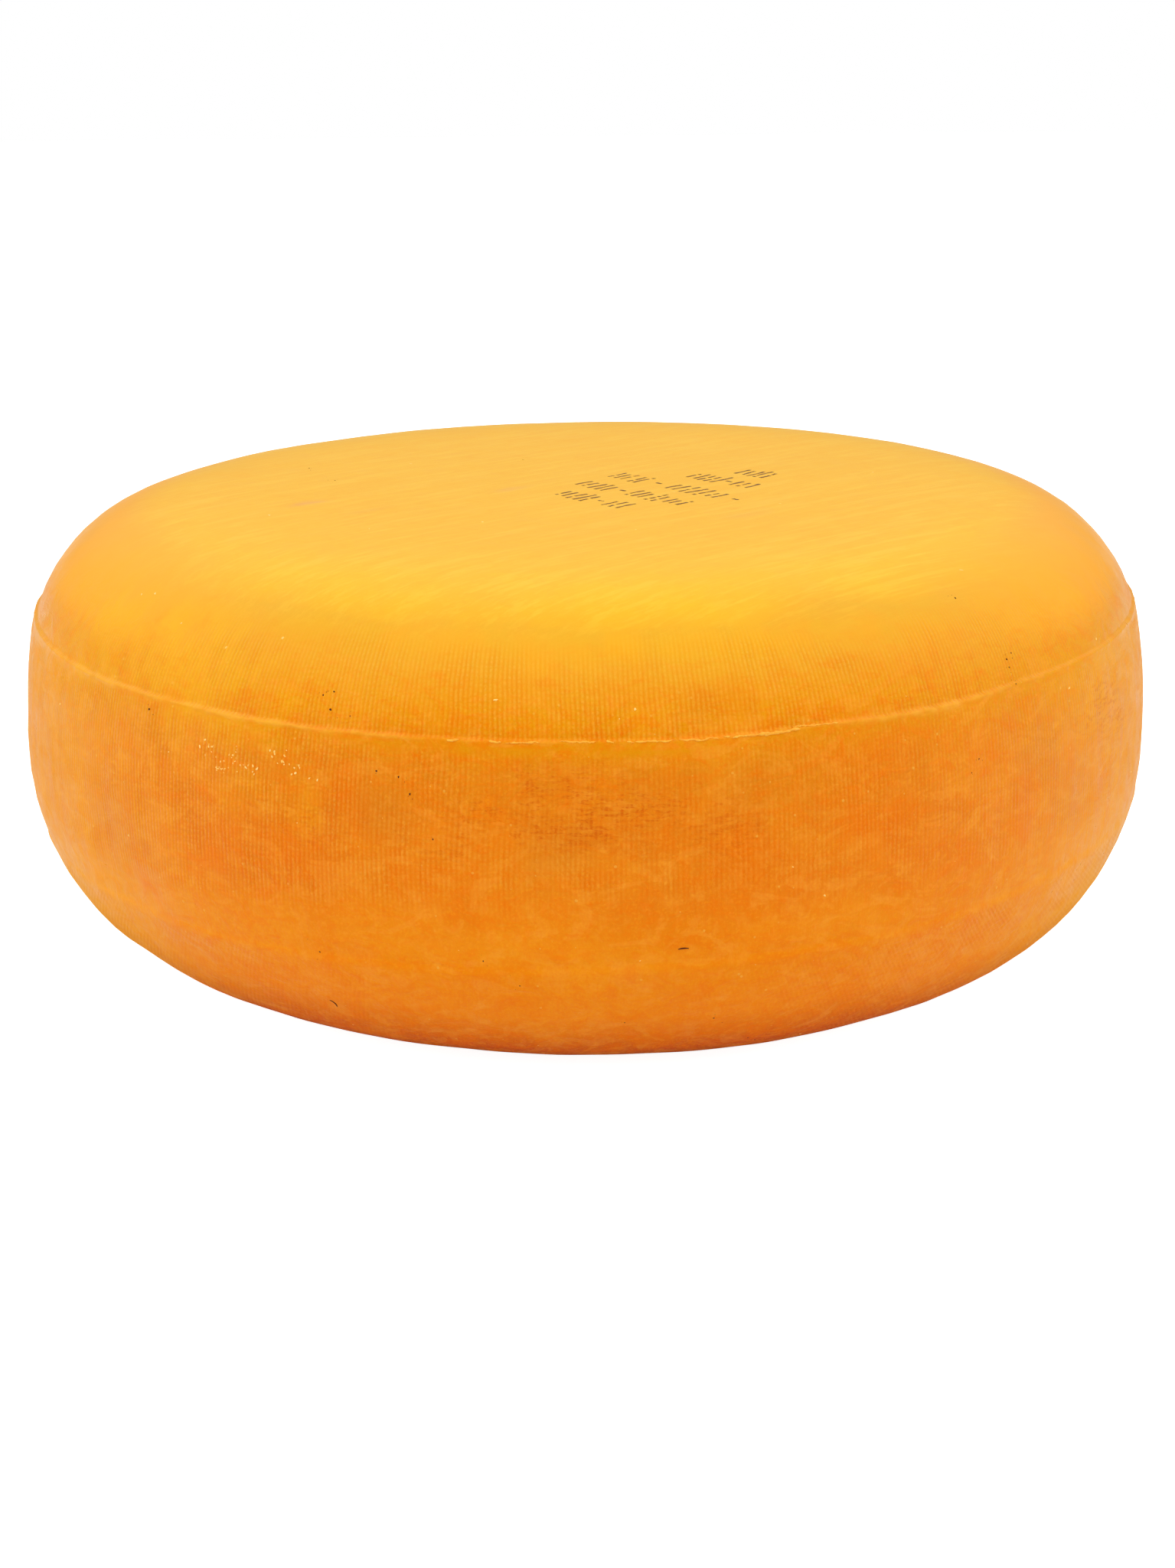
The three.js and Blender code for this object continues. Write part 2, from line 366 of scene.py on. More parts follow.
# Patches of the coat: azimuth, height over the ground, half width, half height, strength.
coatPatches = {
    "deep": [
        (-110.5, 84, 5, 8, 0.8),
        (-117.6, 72, 7, 6, 1.0),
        (-114.5, 67, 8, 5, 0.6),
        (-123, 65, 12, 7, 0.6),
        (-134.8, 50, 3, 6, 0.6),
        (-132, 33, 6, 3, 0.3),
        # these two darken the small hollows of the solid at the same places
        (-133, 44, 2, 2, 0.9),
        (-117.5, 112, 2, 2, 0.6),
        (-104, 64, 14, 6, 0.4),
        (-92, 88, 12, 3, 0.5),
        (-98, 76, 14, 5, 0.4),
        (-75.8, 72.5, 9, 6, 0.8),
        (-81, 82, 9, 5, 0.4),
        (-65, 74, 10, 7, 0.9),
        (-61, 66, 10, 5, 0.5),
        (-62, 91, 16, 5, 0.6),
        (-52, 86, 10, 7, 0.6),
        (-48, 70, 5, 9, 0.6),
        (-41, 78, 4, 8, 0.5),
        (-35, 64, 8, 8, 0.5),
        (-97, 112, 22, 3, 0.4),
        (-80, 110, 26, 3, 0.5),
        (-60, 112, 20, 4, 0.4),
        (20, 84, 24, 10, 0.6),
        (62, 62, 18, 12, 0.7),
        (105, 90, 20, 8, 0.6),
        (150, 74, 22, 11, 0.7),
    ],
    "pale": [
        (-143, 34, 12, 12, 0.7),
        (-27, 116, 12, 7, 0.8),
        (-92, 120, 30, 3, 0.7),
        (-70, 121, 26, 3, 0.6),
        (-104, 121, 20, 3, 0.5),
        (-55, 117, 18, 4, 0.5),
        (-152, 100, 14, 8, 0.5),
        (-38, 46, 16, 10, 0.5),
        (-100, 47, 26, 4, 0.6),
        (-70, 50, 24, 4, 0.6),
        (-84, 45, 18, 4, 0.5),
        (40, 100, 18, 8, 0.6),
        (95, 50, 24, 8, 0.5),
        (170, 96, 18, 8, 0.6),
    ],
    "thin": [
        (-130, 108, 30, 10, 0.8),
        (-124, 98, 22, 6, 0.6),
        (-118, 82, 14, 8, 0.4),
        (-142, 111, 20, 9, 0.7),
        (-82, 120, 34, 4, 0.4),
        (70, 106, 30, 9, 0.7),
        (160, 110, 28, 9, 0.7),
    ],
    "golden": [
        (-97, 98.7, 9, 0.7, 1.0),
        (-86, 98.1, 13, 0.8, 1.0),
        (-75, 96.8, 8, 0.7, 0.7),
        (-109, 98.9, 10, 0.5, 0.6),
        (30, 98.7, 16, 0.7, 0.8),
        (135, 98.7, 22, 0.7, 0.8),
    ],
    "dull": [
        (-107, 84, 7, 7, 0.8),
        (-93, 92, 10, 4, 0.5),
        (-84, 89, 9, 4, 0.7),
        (-92, 73, 12, 6, 0.9),
        (-86, 80, 22, 8, 0.45),
        (-77, 91, 14, 6, 0.5),
        (-74, 82, 12, 6, 0.4),
        (-79, 107, 14, 3.5, 0.5),
        (-138, 60, 10, 10, 0.4),
        (-46, 84, 14, 8, 0.5),
        (-40, 66, 10, 9, 0.4),
        (60, 84, 16, 8, 0.6),
        (140, 60, 16, 8, 0.6),
    ],
    "scuffed": [
        (-92, 92, 15, 4, 0.8),
        (-88, 85, 22, 5, 1.0),
        (-91, 79, 18, 4, 0.9),
        (-99, 82, 8, 5, 0.8),
        (-78, 77, 14, 4, 0.6),
        (-103, 71, 10, 4, 0.5),
        (-115, 76, 14, 5, 0.5),
        (-64, 86, 12, 5, 0.4),
        (-33, 84, 14, 8, 0.6),
        (28, 70, 22, 8, 0.8),
        (84, 88, 20, 6, 0.8),
        (132, 66, 24, 7, 0.8),
        (176, 84, 16, 6, 0.7),
    ],
}


def patchMask(kind, azimuth, ground, points):
    mask = np.zeros(len(azimuth))
    rough = 0.35 * ripple(points, 14 * mm, rind["seed"] + 9) + 0.2 * ripple(points, 6 * mm, rind["seed"] + 10)
    for where, height, wide, tall, strength in coatPatches[kind]:
        sideways = turnBetween(azimuth, where) * rind["meanRadius"] / (wide * mm)
        away = np.hypot(sideways, (ground - height * mm) / (tall * mm))
        mask = np.maximum(mask, strength * softStep((1.6 - away + rough * softStep(2 - away)) / 1.4))
    return mask


def setAttribute(mesh, name, values):
    attribute = mesh.attributes.new(name, "FLOAT", "POINT")
    attribute.data.foreach_set("value", np.ascontiguousarray(values, np.float32))


def addObject(name, data):
    piece = bpy.data.objects.new(name, data)
    bpy.context.scene.collection.objects.link(piece)
    return piece


def makeRind():
    rings = rindRings()
    azimuth = np.concatenate([np.arange(n) * (360 / n) for n, _, _, _ in rings])
    tilt = np.concatenate([np.full(n, t) for n, t, _, _ in rings])
    follow = np.concatenate([np.full(n, f) for n, _, f, _ in rings])
    onBase = np.concatenate([np.full(n, s) for n, _, _, s in rings])
    edgeShift = rind["linerTilt"] * cosOf(azimuth - rind["linerTiltAzimuth"])
    moved = plainProfile(tilt)[1] + follow * edgeShift
    tilt = np.where(follow > 0, tiltAtHeight(moved), tilt)
    points = wheelPoint(tilt, azimuth)
    baseHub = np.array([rind["baseLean"], 0, rind["baseFlattening"] - rind["lowerHeight"]])
    points = baseHub + (points - baseHub) * onBase[:, None]

    # stand it where the solid stands
    low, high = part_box("cheese_wheel")
    formLow, formHigh = points.min(0), points.max(0)
    shift = (np.array(low) + np.array(high)) / 2 - (formLow + formHigh) / 2
    shift[2] = low.z - formLow[2]

    starts = np.concatenate([[0], np.cumsum([ring[0] for ring in rings])])
    topHub, lowHub = len(points), len(points) + 1
    faces = []
    for i in range(len(rings) - 1):
        faces += bandFaces(int(starts[i]), rings[i][0], int(starts[i + 1]), rings[i + 1][0])
    first, last = rings[0][0], rings[-1][0]
    end = int(starts[len(rings) - 1])
    faces += [(topHub, i, (i + 1) % first) for i in range(first)]
    faces += [(end + (i + 1) % last, end + i, lowHub) for i in range(last)]
    points = np.vstack([points, [[0, 0, rind["upperHeight"]]], [baseHub]])

    mesh = bpy.data.meshes.new("rind")
    mesh.from_pydata(points + shift, [], faces)
    mesh.update()
    normals = np.zeros(len(points) * 3, np.float32)
    mesh.vertex_normals.foreach_get("vector", normals)
    normals = normals.reshape(-1, 3)

    # ribs, the bead on the seam's lip and the unevenness of the coat, out along the plain form's normals
    azimuth = np.append(azimuth, [0, 0])
    tilt = np.append(tilt, [math.pi / 2, -math.pi / 2])
    onBase = np.append(onBase, [1, 0])
    radius, height = plainProfile(tilt)
    share = radius / rind["meanRadius"]
    above = height - rind["seamHeight"]
    ribs = ribStrength(height, share, azimuth, points)
    across, threads = threadsOf(tilt, onBase, azimuth, height, points)
    lip = lipOf(above, azimuth, points)
    ground = height + rind["lowerHeight"] - rind["baseFlattening"]
    standing = softStep(ground / (10 * mm)) * onBase
    uneven = ripple(points, 42 * mm, rind["seed"] + 7) + 0.4 * ripple(points, 15 * mm, rind["seed"] + 8)
    flatTop = rind["topUnevenness"]
    uneven *= standing * (flatTop + (1 - flatTop) * softStep((share - 0.8) / 0.12))
    sway = ribSway(points)
    relief = rind["ribDepth"] * ribs * np.cos(np.radians(azimuth) * rind["ribs"] + sway)
    relief += lip + rind["unevenness"] * uneven
    mesh.vertices.foreach_set("co", (points + shift + normals * relief[:, None]).astype(np.float32).ravel())
    mesh.polygons.foreach_set("use_smooth", np.ones(len(mesh.polygons), bool))

    # what the coat's material reads from the surface
    fine = np.linspace(-math.pi / 2, math.pi / 2, 6000)
    fineRadius, fineHeight = plainProfile(fine)
    length = np.concatenate([[0], np.cumsum(np.hypot(np.diff(fineRadius), np.diff(fineHeight)))])
    aside = np.abs(np.degrees(turnBetween(azimuth, -90)))
    setAttribute(mesh, "sides", softStep((aside - 30) / 35) * (1 - softStep((aside - 115) / 35)))
    setAttribute(mesh, "upwards", np.interp(tilt, fine, length))
    setAttribute(mesh, "ribs", ribs)
    setAttribute(mesh, "threads", threads)
    setAttribute(mesh, "threadAcross", across)
    setAttribute(mesh, "sway", sway)
    setAttribute(mesh, "lip", np.clip(lip / (0.26 * mm), 0, 1))
    for kind in coatPatches:
        setAttribute(mesh, kind, patchMask(kind, azimuth, ground, points))
    mesh.update()
    piece = addObject("coated_wheel", mesh)
    triangles = sum(len(polygon.vertices) - 2 for polygon in mesh.polygons)
    print("rind:", len(mesh.vertices), "vertices,", triangles, "triangles")
    return piece, shift


# A colour given as screen values from 0 to 255, in the linear values that nodes take.
def fromScreen(red, green, blue):
    shares = [value / 255 for value in (red, green, blue)]
    return (*(c / 12.92 if c < 0.0404 else ((c + 0.055) / 1.055) ** 2.4 for c in shares), 1)


# Small helpers for node trees. A value may be a number, a colour or another node's output.
def fill(tree, socket, value):
    if isinstance(value, bpy.types.NodeSocket):
        tree.links.new(value, socket)
    else:
        socket.default_value = value


def addNode(tree, kind, inputs=None, **settings):
    node = tree.nodes.new(kind)
    for name, value in settings.items():
        setattr(node, name, value)
    for name, value in (inputs or {}).items():
        fill(tree, node.inputs[name], value)
    return node


def mathNode(tree, operation, *values):
    node = addNode(tree, "ShaderNodeMath", operation=operation)
    for index, value in enumerate(values):
        fill(tree, node.inputs[index], value)
    return node.outputs[0]


def mixNode(tree, factor, first, second, blend="MIX"):
    node = addNode(tree, "ShaderNodeMix", data_type="RGBA", blend_type=blend)
    for index, value in ((0, factor), (6, first), (7, second)):
        fill(tree, node.inputs[index], value)
    return node.outputs[2]


def rangeNode(tree, value, low, high, toLow=0.0, toHigh=1.0):
    node = addNode(tree, "ShaderNodeMapRange", interpolation_type="SMOOTHSTEP")
    for index, given in enumerate((value, low, high, toLow, toHigh)):
        fill(tree, node.inputs[index], given)
    return node.outputs[0]


def noiseNode(tree, vector, size, detail=3.0, roughness=0.5, distortion=0.0):
    node = addNode(tree, "ShaderNodeTexNoise", {"Vector": vector, "Scale": 1 / size, "Detail": detail})
    node.inputs["Roughness"].default_value = roughness
    node.inputs["Distortion"].default_value = distortion
    return node.outputs["Fac"]


def stretchNode(tree, vector, turn, scale):
    turned = addNode(tree, "ShaderNodeMapping", {"Vector": vector, "Rotation": (0, 0, math.radians(turn))})
    sized = addNode(tree, "ShaderNodeMapping", {"Vector": turned.outputs[0], "Scale": scale})
    return sized.outputs[0]


def attributeNode(tree, name):
    return addNode(tree, "ShaderNodeAttribute", attribute_name=name).outputs["Fac"]


def rampNode(tree, value, stops):
    node = addNode(tree, "ShaderNodeValToRGB", {"Fac": value})
    elements = node.color_ramp.elements
    while len(elements) < len(stops):
        elements.new(0.5)
    for element, (place, colour) in zip(elements, stops):
        element.position = place
        element.color = colour
    return node.outputs["Color"]


def newMaterial(name):
    material = bpy.data.materials.new(name)
    material.use_nodes = True
    return material, material.node_tree, material.node_tree.nodes["Principled BSDF"]


# Puts a node group in a tree and gives its outputs by name.
def groupNode(tree, group, inputs):
    return addNode(tree, "ShaderNodeGroup", inputs, node_tree=group).outputs


# A node group: a vector and named numbers go in, named numbers come out.
def newGroup(name, inputs, outputs):
    group = bpy.data.node_groups.new(name, "ShaderNodeTree")
    group.interface.new_socket("Vector", in_out="INPUT", socket_type="NodeSocketVector")
    for label, value in inputs.items():
        socket = group.interface.new_socket(label, in_out="INPUT", socket_type="NodeSocketFloat")
        socket.default_value = value
    for label in outputs:
        group.interface.new_socket(label, in_out="OUTPUT", socket_type="NodeSocketFloat")
    return group, group.nodes.new("NodeGroupInput"), group.nodes.new("NodeGroupOutput")


# Long streaks left by the brush that spread the coat: a tint from 0 to 1, and a height.
def makeBrushStreaks():
    group, given, made = newGroup("brushStreaks", {"Width": 3 * mm, "Length": 40 * mm}, ["Tint", "Height"])
    along = mathNode(group, "DIVIDE", 1.0, given.outputs["Length"])
    over = mathNode(group, "DIVIDE", 1.0, given.outputs["Width"])
    scale = addNode(group, "ShaderNodeCombineXYZ", {"X": along, "Y": over, "Z": over})
    sized = addNode(group, "ShaderNodeVectorMath", operation="MULTIPLY")
    fill(group, sized.inputs[0], given.outputs["Vector"])
    fill(group, sized.inputs[1], scale.outputs[0])
    wide = mathNode(group, "MULTIPLY", noiseNode(group, sized.outputs[0], 1.0, 3, 0.55, 0.3), 0.6)
    narrow = mathNode(group, "MULTIPLY", noiseNode(group, sized.outputs[0], 0.3, 3, 0.6), 0.4)
    both = mathNode(group, "ADD", wide, narrow)
    fill(group, made.inputs["Tint"], rangeNode(group, both, 0.36, 0.64))
    fill(group, made.inputs["Height"], both)
    return group


# Fine grain of a dried coat: a tint about 0.5, and a height.
def makeCoatGrain():
    group, given, made = newGroup("coatGrain", {"Size": 1 * mm}, ["Tint", "Height"])
    place = given.outputs["Vector"]
    scale = mathNode(group, "DIVIDE", 1.0, given.outputs["Size"])
    grain = addNode(group, "ShaderNodeTexNoise", {"Vector": place, "Scale": scale, "Detail": 2.0})
    broad = mathNode(group, "MULTIPLY", scale, 0.22)
    lumps = addNode(group, "ShaderNodeTexNoise", {"Vector": place, "Scale": broad, "Detail": 3.0})
    grainHalf = mathNode(group, "MULTIPLY", grain.outputs["Fac"], 0.5)
    lumpsHalf = mathNode(group, "MULTIPLY", lumps.outputs["Fac"], 0.5)
    both = mathNode(group, "ADD", grainHalf, lumpsHalf)
    fill(group, made.inputs["Tint"], rangeNode(group, both, 0.3, 0.7))
    fill(group, made.inputs["Height"], both)
    return group


# Fine broken lines, where the drying coat has crept or been scuffed.
def makeCoatCracks():
    group, given, made = newGroup("coatCracks", {"Size": 5 * mm, "Thickness": 0.03}, ["Lines"])
    place = given.outputs["Vector"]
    scale = mathNode(group, "DIVIDE", 1.0, given.outputs["Size"])
    path = addNode(group, "ShaderNodeTexNoise", {"Vector": place, "Scale": scale, "Detail": 3.0})
    path.inputs["Roughness"].default_value = 0.62
    path.inputs["Distortion"].default_value = 0.5
    offPath = mathNode(group, "ABSOLUTE", mathNode(group, "SUBTRACT", path.outputs["Fac"], 0.5))
    lines = rangeNode(group, offPath, 0.0, given.outputs["Thickness"], 1.0, 0.0)
    gaps = addNode(group, "ShaderNodeTexNoise", {"Vector": place, "Detail": 2.0})
    fill(group, gaps.inputs["Scale"], mathNode(group, "MULTIPLY", scale, 1.7))
    kept = rangeNode(group, gaps.outputs["Fac"], 0.44, 0.6)
    fill(group, made.inputs["Lines"], mathNode(group, "MULTIPLY", lines, kept))
    return group


# Sparse tiny dots of dried wax. Share is how many of the cells hold one.
def makeWaxDots():
    group, given, made = newGroup("waxDots", {"Spacing": 3 * mm, "Share": 0.3}, ["Mask"])
    scale = mathNode(group, "DIVIDE", 1.0, given.outputs["Spacing"])
    cells = addNode(group, "ShaderNodeTexVoronoi", {"Vector": given.outputs["Vector"], "Scale": scale})
    chance = addNode(group, "ShaderNodeSeparateColor", {"Color": cells.outputs["Color"]})
    held = mathNode(group, "LESS_THAN", chance.outputs["Red"], given.outputs["Share"])
    reach = mathNode(group, "MULTIPLY_ADD", chance.outputs["Green"], 0.1, 0.07)
    core = mathNode(group, "MULTIPLY", reach, 0.5)
    dot = rangeNode(group, cells.outputs["Distance"], core, reach, 1.0, 0.0)
    fill(group, made.inputs["Mask"], mathNode(group, "MULTIPLY", dot, held))
    return group


# Everything about the coat. Colours are albedo, lengths are on the rind.
coatLook = {
    # from the ground up to the top, as shares of the wheel's height; the stops nearest the ground are darker
    # as painted contact shade, and the yellower stops over the top are in part painted light for the stronger
    # light there
    "byHeight": [
        (0.00, (104, 36, 2)),
        (0.045, (158, 56, 2)),
        (0.09, (209, 80, 2)),
        (0.20, (241, 134, 2)),
        (0.34, (235, 133, 7)),
        (0.45, (228, 121, 16)),
        (0.58, (225, 119, 17)),
        (0.70, (222, 127, 17)),
        (0.76, (225, 138, 4)),
        (0.80, (229, 147, 8)),
        (0.88, (231, 162, 37)),
        (0.94, (227, 167, 34)),
        (0.985, (249, 186, 1)),
    ],
    "deepTint": (238, 112, 2),
    "paleTint": (248, 158, 30),
    "hazeTint": (244, 154, 48),
    "thinCoatAndSheenTint": (242, 190, 2),     # painted sheen, paler round the two sides as seen from the front; also the thin patches' tint
    "shoulderLightTint": (254, 172, 14),    # and painted light over their shoulder, which faces away from the lamps
    # painted highlight on the seam's bead
    "lipHighlightTint": (250, 186, 70),
    "dullTint": (204, 118, 26),
    "goldenTint": (222, 142, 6),
    "crackTint": (206, 88, 6),
    # dots of wax, and painted highlight on the ribs' beaded tops
    "dotAndCrestHighlightTint": (252, 206, 90),
    "streakTint": (254, 206, 60),
    "streakDeep": (248, 178, 4),
    "stainTint": (236, 156, 92),
    "grooveShade": (0.96, 0.87, 0.56, 1),
    # the noises in it: size, detail, roughness, distortion, and whether it is drawn out level
    "noises": {
        "clouds": (30 * mm, 2, 0.5, 0.6, False),
        "swirls": (12 * mm, 3, 0.6, 1.6, True),
        "blots": (22 * mm, 3, 0.55, 2.6, True),
        "mottle": (4.5 * mm, 3, 0.62, 0.8, False),
        "fineGrain": (0.75 * mm, 2, 0.65, 0.0, False),
    },
    # uneven thickness: which noise, from where to where in it, how strong, which tint
    "mottling": [
        ("clouds", 0.5, 0.72, 0.18, "deepTint"),
        ("clouds", 0.5, 0.3, 0.22, "paleTint"),
        ("swirls", 0.5, 0.64, 0.34, "deepTint"),
        ("swirls", 0.48, 0.34, 0.26, "hazeTint"),
        ("blots", 0.56, 0.62, 0.26, "deepTint"),
        ("blots", 0.43, 0.38, 0.3, "hazeTint"),
        ("mottle", 0.52, 0.68, 0.3, "deepTint"),
        ("mottle", 0.48, 0.34, 0.24, "hazeTint"),
        ("fineGrain", 0.5, 0.7, 0.34, "deepTint"),
        ("fineGrain", 0.5, 0.3, 0.3, "paleTint"),
    ],
    # placed patches: how strong, which tint
    "patches": [
        ("deep", 0.4, "deepTint"),
        ("pale", 0.35, "paleTint"),
        ("dull", 0.34, "dullTint"),
        ("thin", 0.3, "thinCoatAndSheenTint"),
        ("golden", 0.7, "goldenTint"),
    ],
    # the brush's streaks: width and length, then how they tint the top
    "streaks": {
        "broad": (4 * mm, 45 * mm),
        "narrow": (1.2 * mm, 22 * mm),
        "wall": (4 * mm, 36 * mm),
    },
    "streakTurn": -40,             # degrees: the way the brush went over the top
    "streaking": [
        ("broad", 0.45, 1.0, 0.26, "streakTint"),
        ("broad", 0.5, 0.0, 0.14, "streakDeep"),
        ("narrow", 0.6, 1.0, 0.16, "streakTint"),
    ],
    # stains on top: place about the axis and half sizes in millimetres, how strong
    "stains": [
        (-85, -28, 9, 3.5, 0.42),
        (-24, -10, 9, 3, 0.24),
        (-64, -40, 12, 3, 0.12),
        (46, -52, 14, 4, 0.1),
    ],
    "crackSize": 4.6 * mm,
    "crackThickness": 0.13,
    "dotSpacing": 3.2 * mm,
    "dotShare": 0.3,
    "grainSize": 1.1 * mm,
    # how strongly each of these is tinted
    "beadHighlightShare": 0.14,
    "lipHighlightShare": 0.35,
    "crackShare": 0.8,
    "dotTintShare": 0.3,
    # how far each effect stands out, or in where it is below zero
    "threadHeight": -0.11 * mm,
    "grainHeight": 0.1 * mm,
    "fineGrainHeight": 0.05 * mm,
    "beadHeight": 0.07 * mm,
    "streakHeight": 0.26 * mm,
    "crackHeight": -0.07 * mm,
    "mottleHeight": 0.14 * mm,
    "swirlHeight": 0.3 * mm,
    "dotHeight": 0.06 * mm,
    "roughness": 0.32,
    "clothRoughness": 0.66,        # where the liner's cloth has pressed on the lower wall
    "glossTint": (255, 208, 84),
    "ior": 1.34,
}


def coatTint(name):
    return fromScreen(*coatLook[name])


# Laps a tint of the coat over a colour, where a mask times a strength says.
def lapTint(tree, colour, mask, strength, name):
    return mixNode(tree, mathNode(tree, "MULTIPLY", mask, strength), colour, coatTint(name))


# The cloths' patterns: the ribs' wave, the beads along their tops, the grooves between them and the threads'.
def clothPatterns(tree, place, axis, mottle):
    fromAxis = addNode(tree, "ShaderNodeVectorMath", operation="SUBTRACT")
    fill(tree, fromAxis.inputs[0], place)
    fromAxis.inputs[1].default_value = (axis[0], axis[1], 0)
    flat = addNode(tree, "ShaderNodeSeparateXYZ", {"Vector": fromAxis.outputs[0]})
    around = mathNode(tree, "ARCTAN2", flat.outputs["Y"], flat.outputs["X"])
    ribTurn = mathNode(tree, "MULTIPLY_ADD", around, float(rind["ribs"]), attributeNode(tree, "sway"))
    ribWave = mathNode(tree, "COSINE", ribTurn)
    ribs = attributeNode(tree, "ribs")
    ribTops = mathNode(tree, "MULTIPLY", mathNode(tree, "MULTIPLY_ADD", ribWave, 0.5, 0.5), ribs)
    ribGroove = mathNode(tree, "SUBTRACT", ribs, ribTops)

    # the cross threads break the ribs' tops into beads
    crossTurn = mathNode(tree, "MULTIPLY", attributeNode(tree, "upwards"), 2 * math.pi / rind["crossPitch"])
    wander = mathNode(tree, "MULTIPLY", noiseNode(tree, place, 6 * mm, 2), 14.0)
    crossWave = mathNode(tree, "SINE", mathNode(tree, "ADD", crossTurn, wander))
    beadWave = mathNode(tree, "MULTIPLY_ADD", crossWave, 0.05, noiseNode(tree, place, 0.8 * mm, 2, 0.7))
    beaded = mathNode(tree, "MULTIPLY", ribTops, rangeNode(tree, beadWave, 0.34, 0.66))

    threadTurn = mathNode(tree, "MULTIPLY", attributeNode(tree, "threadAcross"), 2 * math.pi)
    threadGroove = mathNode(tree, "MULTIPLY_ADD", mathNode(tree, "COSINE", threadTurn), -0.5, 0.5)
    threadGroove = mathNode(tree, "MULTIPLY", threadGroove, attributeNode(tree, "threads"))
    threadGroove = mathNode(tree, "MULTIPLY", threadGroove, rangeNode(tree, mottle, 0.35, 0.65, 0.4, 1.0))
    return ribWave, beaded, ribGroove, threadGroove


def makeCoatMaterial(axis, brushStreaks, coatGrain, coatCracks, waxDots):
    material, tree, shader = newMaterial("dried_coat")
    place = addNode(tree, "ShaderNodeTexCoord").outputs["Object"]
    split = addNode(tree, "ShaderNodeSeparateXYZ", {"Vector": place})
    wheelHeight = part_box("cheese_wheel")[1].z
    level = mathNode(tree, "DIVIDE", split.outputs["Z"], wheelHeight)
    sides = attributeNode(tree, "sides")

    # where each effect holds, by height
    onTop = rangeNode(tree, level, 0.9, 0.985)
    onWall = rangeNode(tree, level, 0.8, 0.7)
    lowDown = rangeNode(tree, level, 0.94, 0.74, 0.12, 1.0)

    # the colour by height, with painted contact shade towards the ground and in part painted light over the
    # top
    stops = [(at, fromScreen(*colour)) for at, colour in coatLook["byHeight"]]
    wobble = mathNode(tree, "SUBTRACT", noiseNode(tree, place, 45 * mm, 3, 0.5), 0.5)
    colour = rampNode(tree, mathNode(tree, "MULTIPLY_ADD", wobble, 0.05, level), stops)

    # the coat's thickness: broad clouds, swirls and blots drawn out level, and a fine grain
    drawnOut = addNode(tree, "ShaderNodeMapping", {"Vector": place, "Scale": (1, 1, 1.8)}).outputs[0]
    noises = {}
    for name, (size, detail, roughness, distortion, isDrawnOut) in coatLook["noises"].items():
        noises[name] = noiseNode(tree, drawnOut if isDrawnOut else place, size, detail, roughness, distortion)
    for noise, low, high, most, tint in coatLook["mottling"]:
        colour = lapTint(tree, colour, rangeNode(tree, noises[noise], low, high, 0, most), lowDown, tint)

    # brush streaks: slanting over the top, upright down the wall
    slanted = stretchNode(tree, place, coatLook["streakTurn"], (1, 1, 1))
    standing = addNode(tree, "ShaderNodeMapping", {"Vector": place, "Rotation": (0, math.radians(90), 0)})
    streaks = {}
    for name, (width, length) in coatLook["streaks"].items():
        way = standing.outputs[0] if name == "wall" else slanted
        streaks[name] = groupNode(tree, brushStreaks, {"Vector": way, "Width": width, "Length": length})
    for name, low, high, most, tint in coatLook["streaking"]:
        shown = rangeNode(tree, streaks[name]["Tint"], low, high, 0, most)
        colour = lapTint(tree, colour, shown, onTop, tint)
    for x, y, long, wide, strength in coatLook["stains"]:
        centre = addNode(tree, "ShaderNodeVectorMath", operation="SUBTRACT")
        fill(tree, centre.inputs[0], place)
        centre.inputs[1].default_value = (axis[0] + x * mm, axis[1] + y * mm, wheelHeight)
        sizes = (1 / (long * mm), 1 / (wide * mm), 20)
        away = addNode(tree, "ShaderNodeVectorMath", operation="LENGTH")
        fill(tree, away.inputs[0], stretchNode(tree, centre.outputs[0], coatLook["streakTurn"], sizes))
        ragged = mathNode(tree, "MULTIPLY_ADD", streaks["broad"]["Tint"], -0.7, away.outputs["Value"])
        colour = mixNode(tree, rangeNode(tree, ragged, 0.8, -0.2, 0, strength), colour, coatTint("stainTint"))
    # the wall's streaks are tinted paler, more round the two sides, where the paler streaks are partly
    # painted sheen
    wallAmount = mathNode(tree, "MULTIPLY", mathNode(tree, "MULTIPLY_ADD", sides, 0.25, 0.1), onWall)
    colour = lapTint(tree, colour, streaks["wall"]["Tint"], wallAmount, "paleTint")

    # the two sides, paler and warmer as painted sheen and painted light, and placed patches
    sideSheenHigh = rangeNode(tree, level, 0.85, 0.75, 0, 0.28)
    sideSheenLow = rangeNode(tree, level, 0.4, 0.2, 0, 0.16)
    colour = lapTint(tree, colour, sides, mathNode(tree, "ADD", sideSheenHigh, sideSheenLow), "thinCoatAndSheenTint")
    overShoulder = rangeNode(tree, level, 0.79, 0.88, 0, 0.8)
    paintedShoulderLight = mathNode(tree, "MULTIPLY", overShoulder, rangeNode(tree, level, 0.99, 0.96))
    colour = lapTint(tree, colour, sides, paintedShoulderLight, "shoulderLightTint")
    for kind, most, tint in coatLook["patches"]:
        colour = lapTint(tree, colour, attributeNode(tree, kind), most, tint)

    # what the cloths have pressed in
    ribWave, beaded, ribGroove, threadGroove = clothPatterns(tree, place, axis, noises["mottle"])
    grooves = mathNode(tree, "ADD", ribGroove, mathNode(tree, "MULTIPLY", threadGroove, 0.5))
    colour = mixNode(tree, grooves, colour, coatLook["grooveShade"], "MULTIPLY")
    # painted highlight on the beaded tops of the ribs
    colour = lapTint(tree, colour, beaded, coatLook["beadHighlightShare"], "dotAndCrestHighlightTint")
    # painted highlight along the top of the seam's bead
    colour = lapTint(tree, colour, attributeNode(tree, "lip"), coatLook["lipHighlightShare"], "lipHighlightTint")

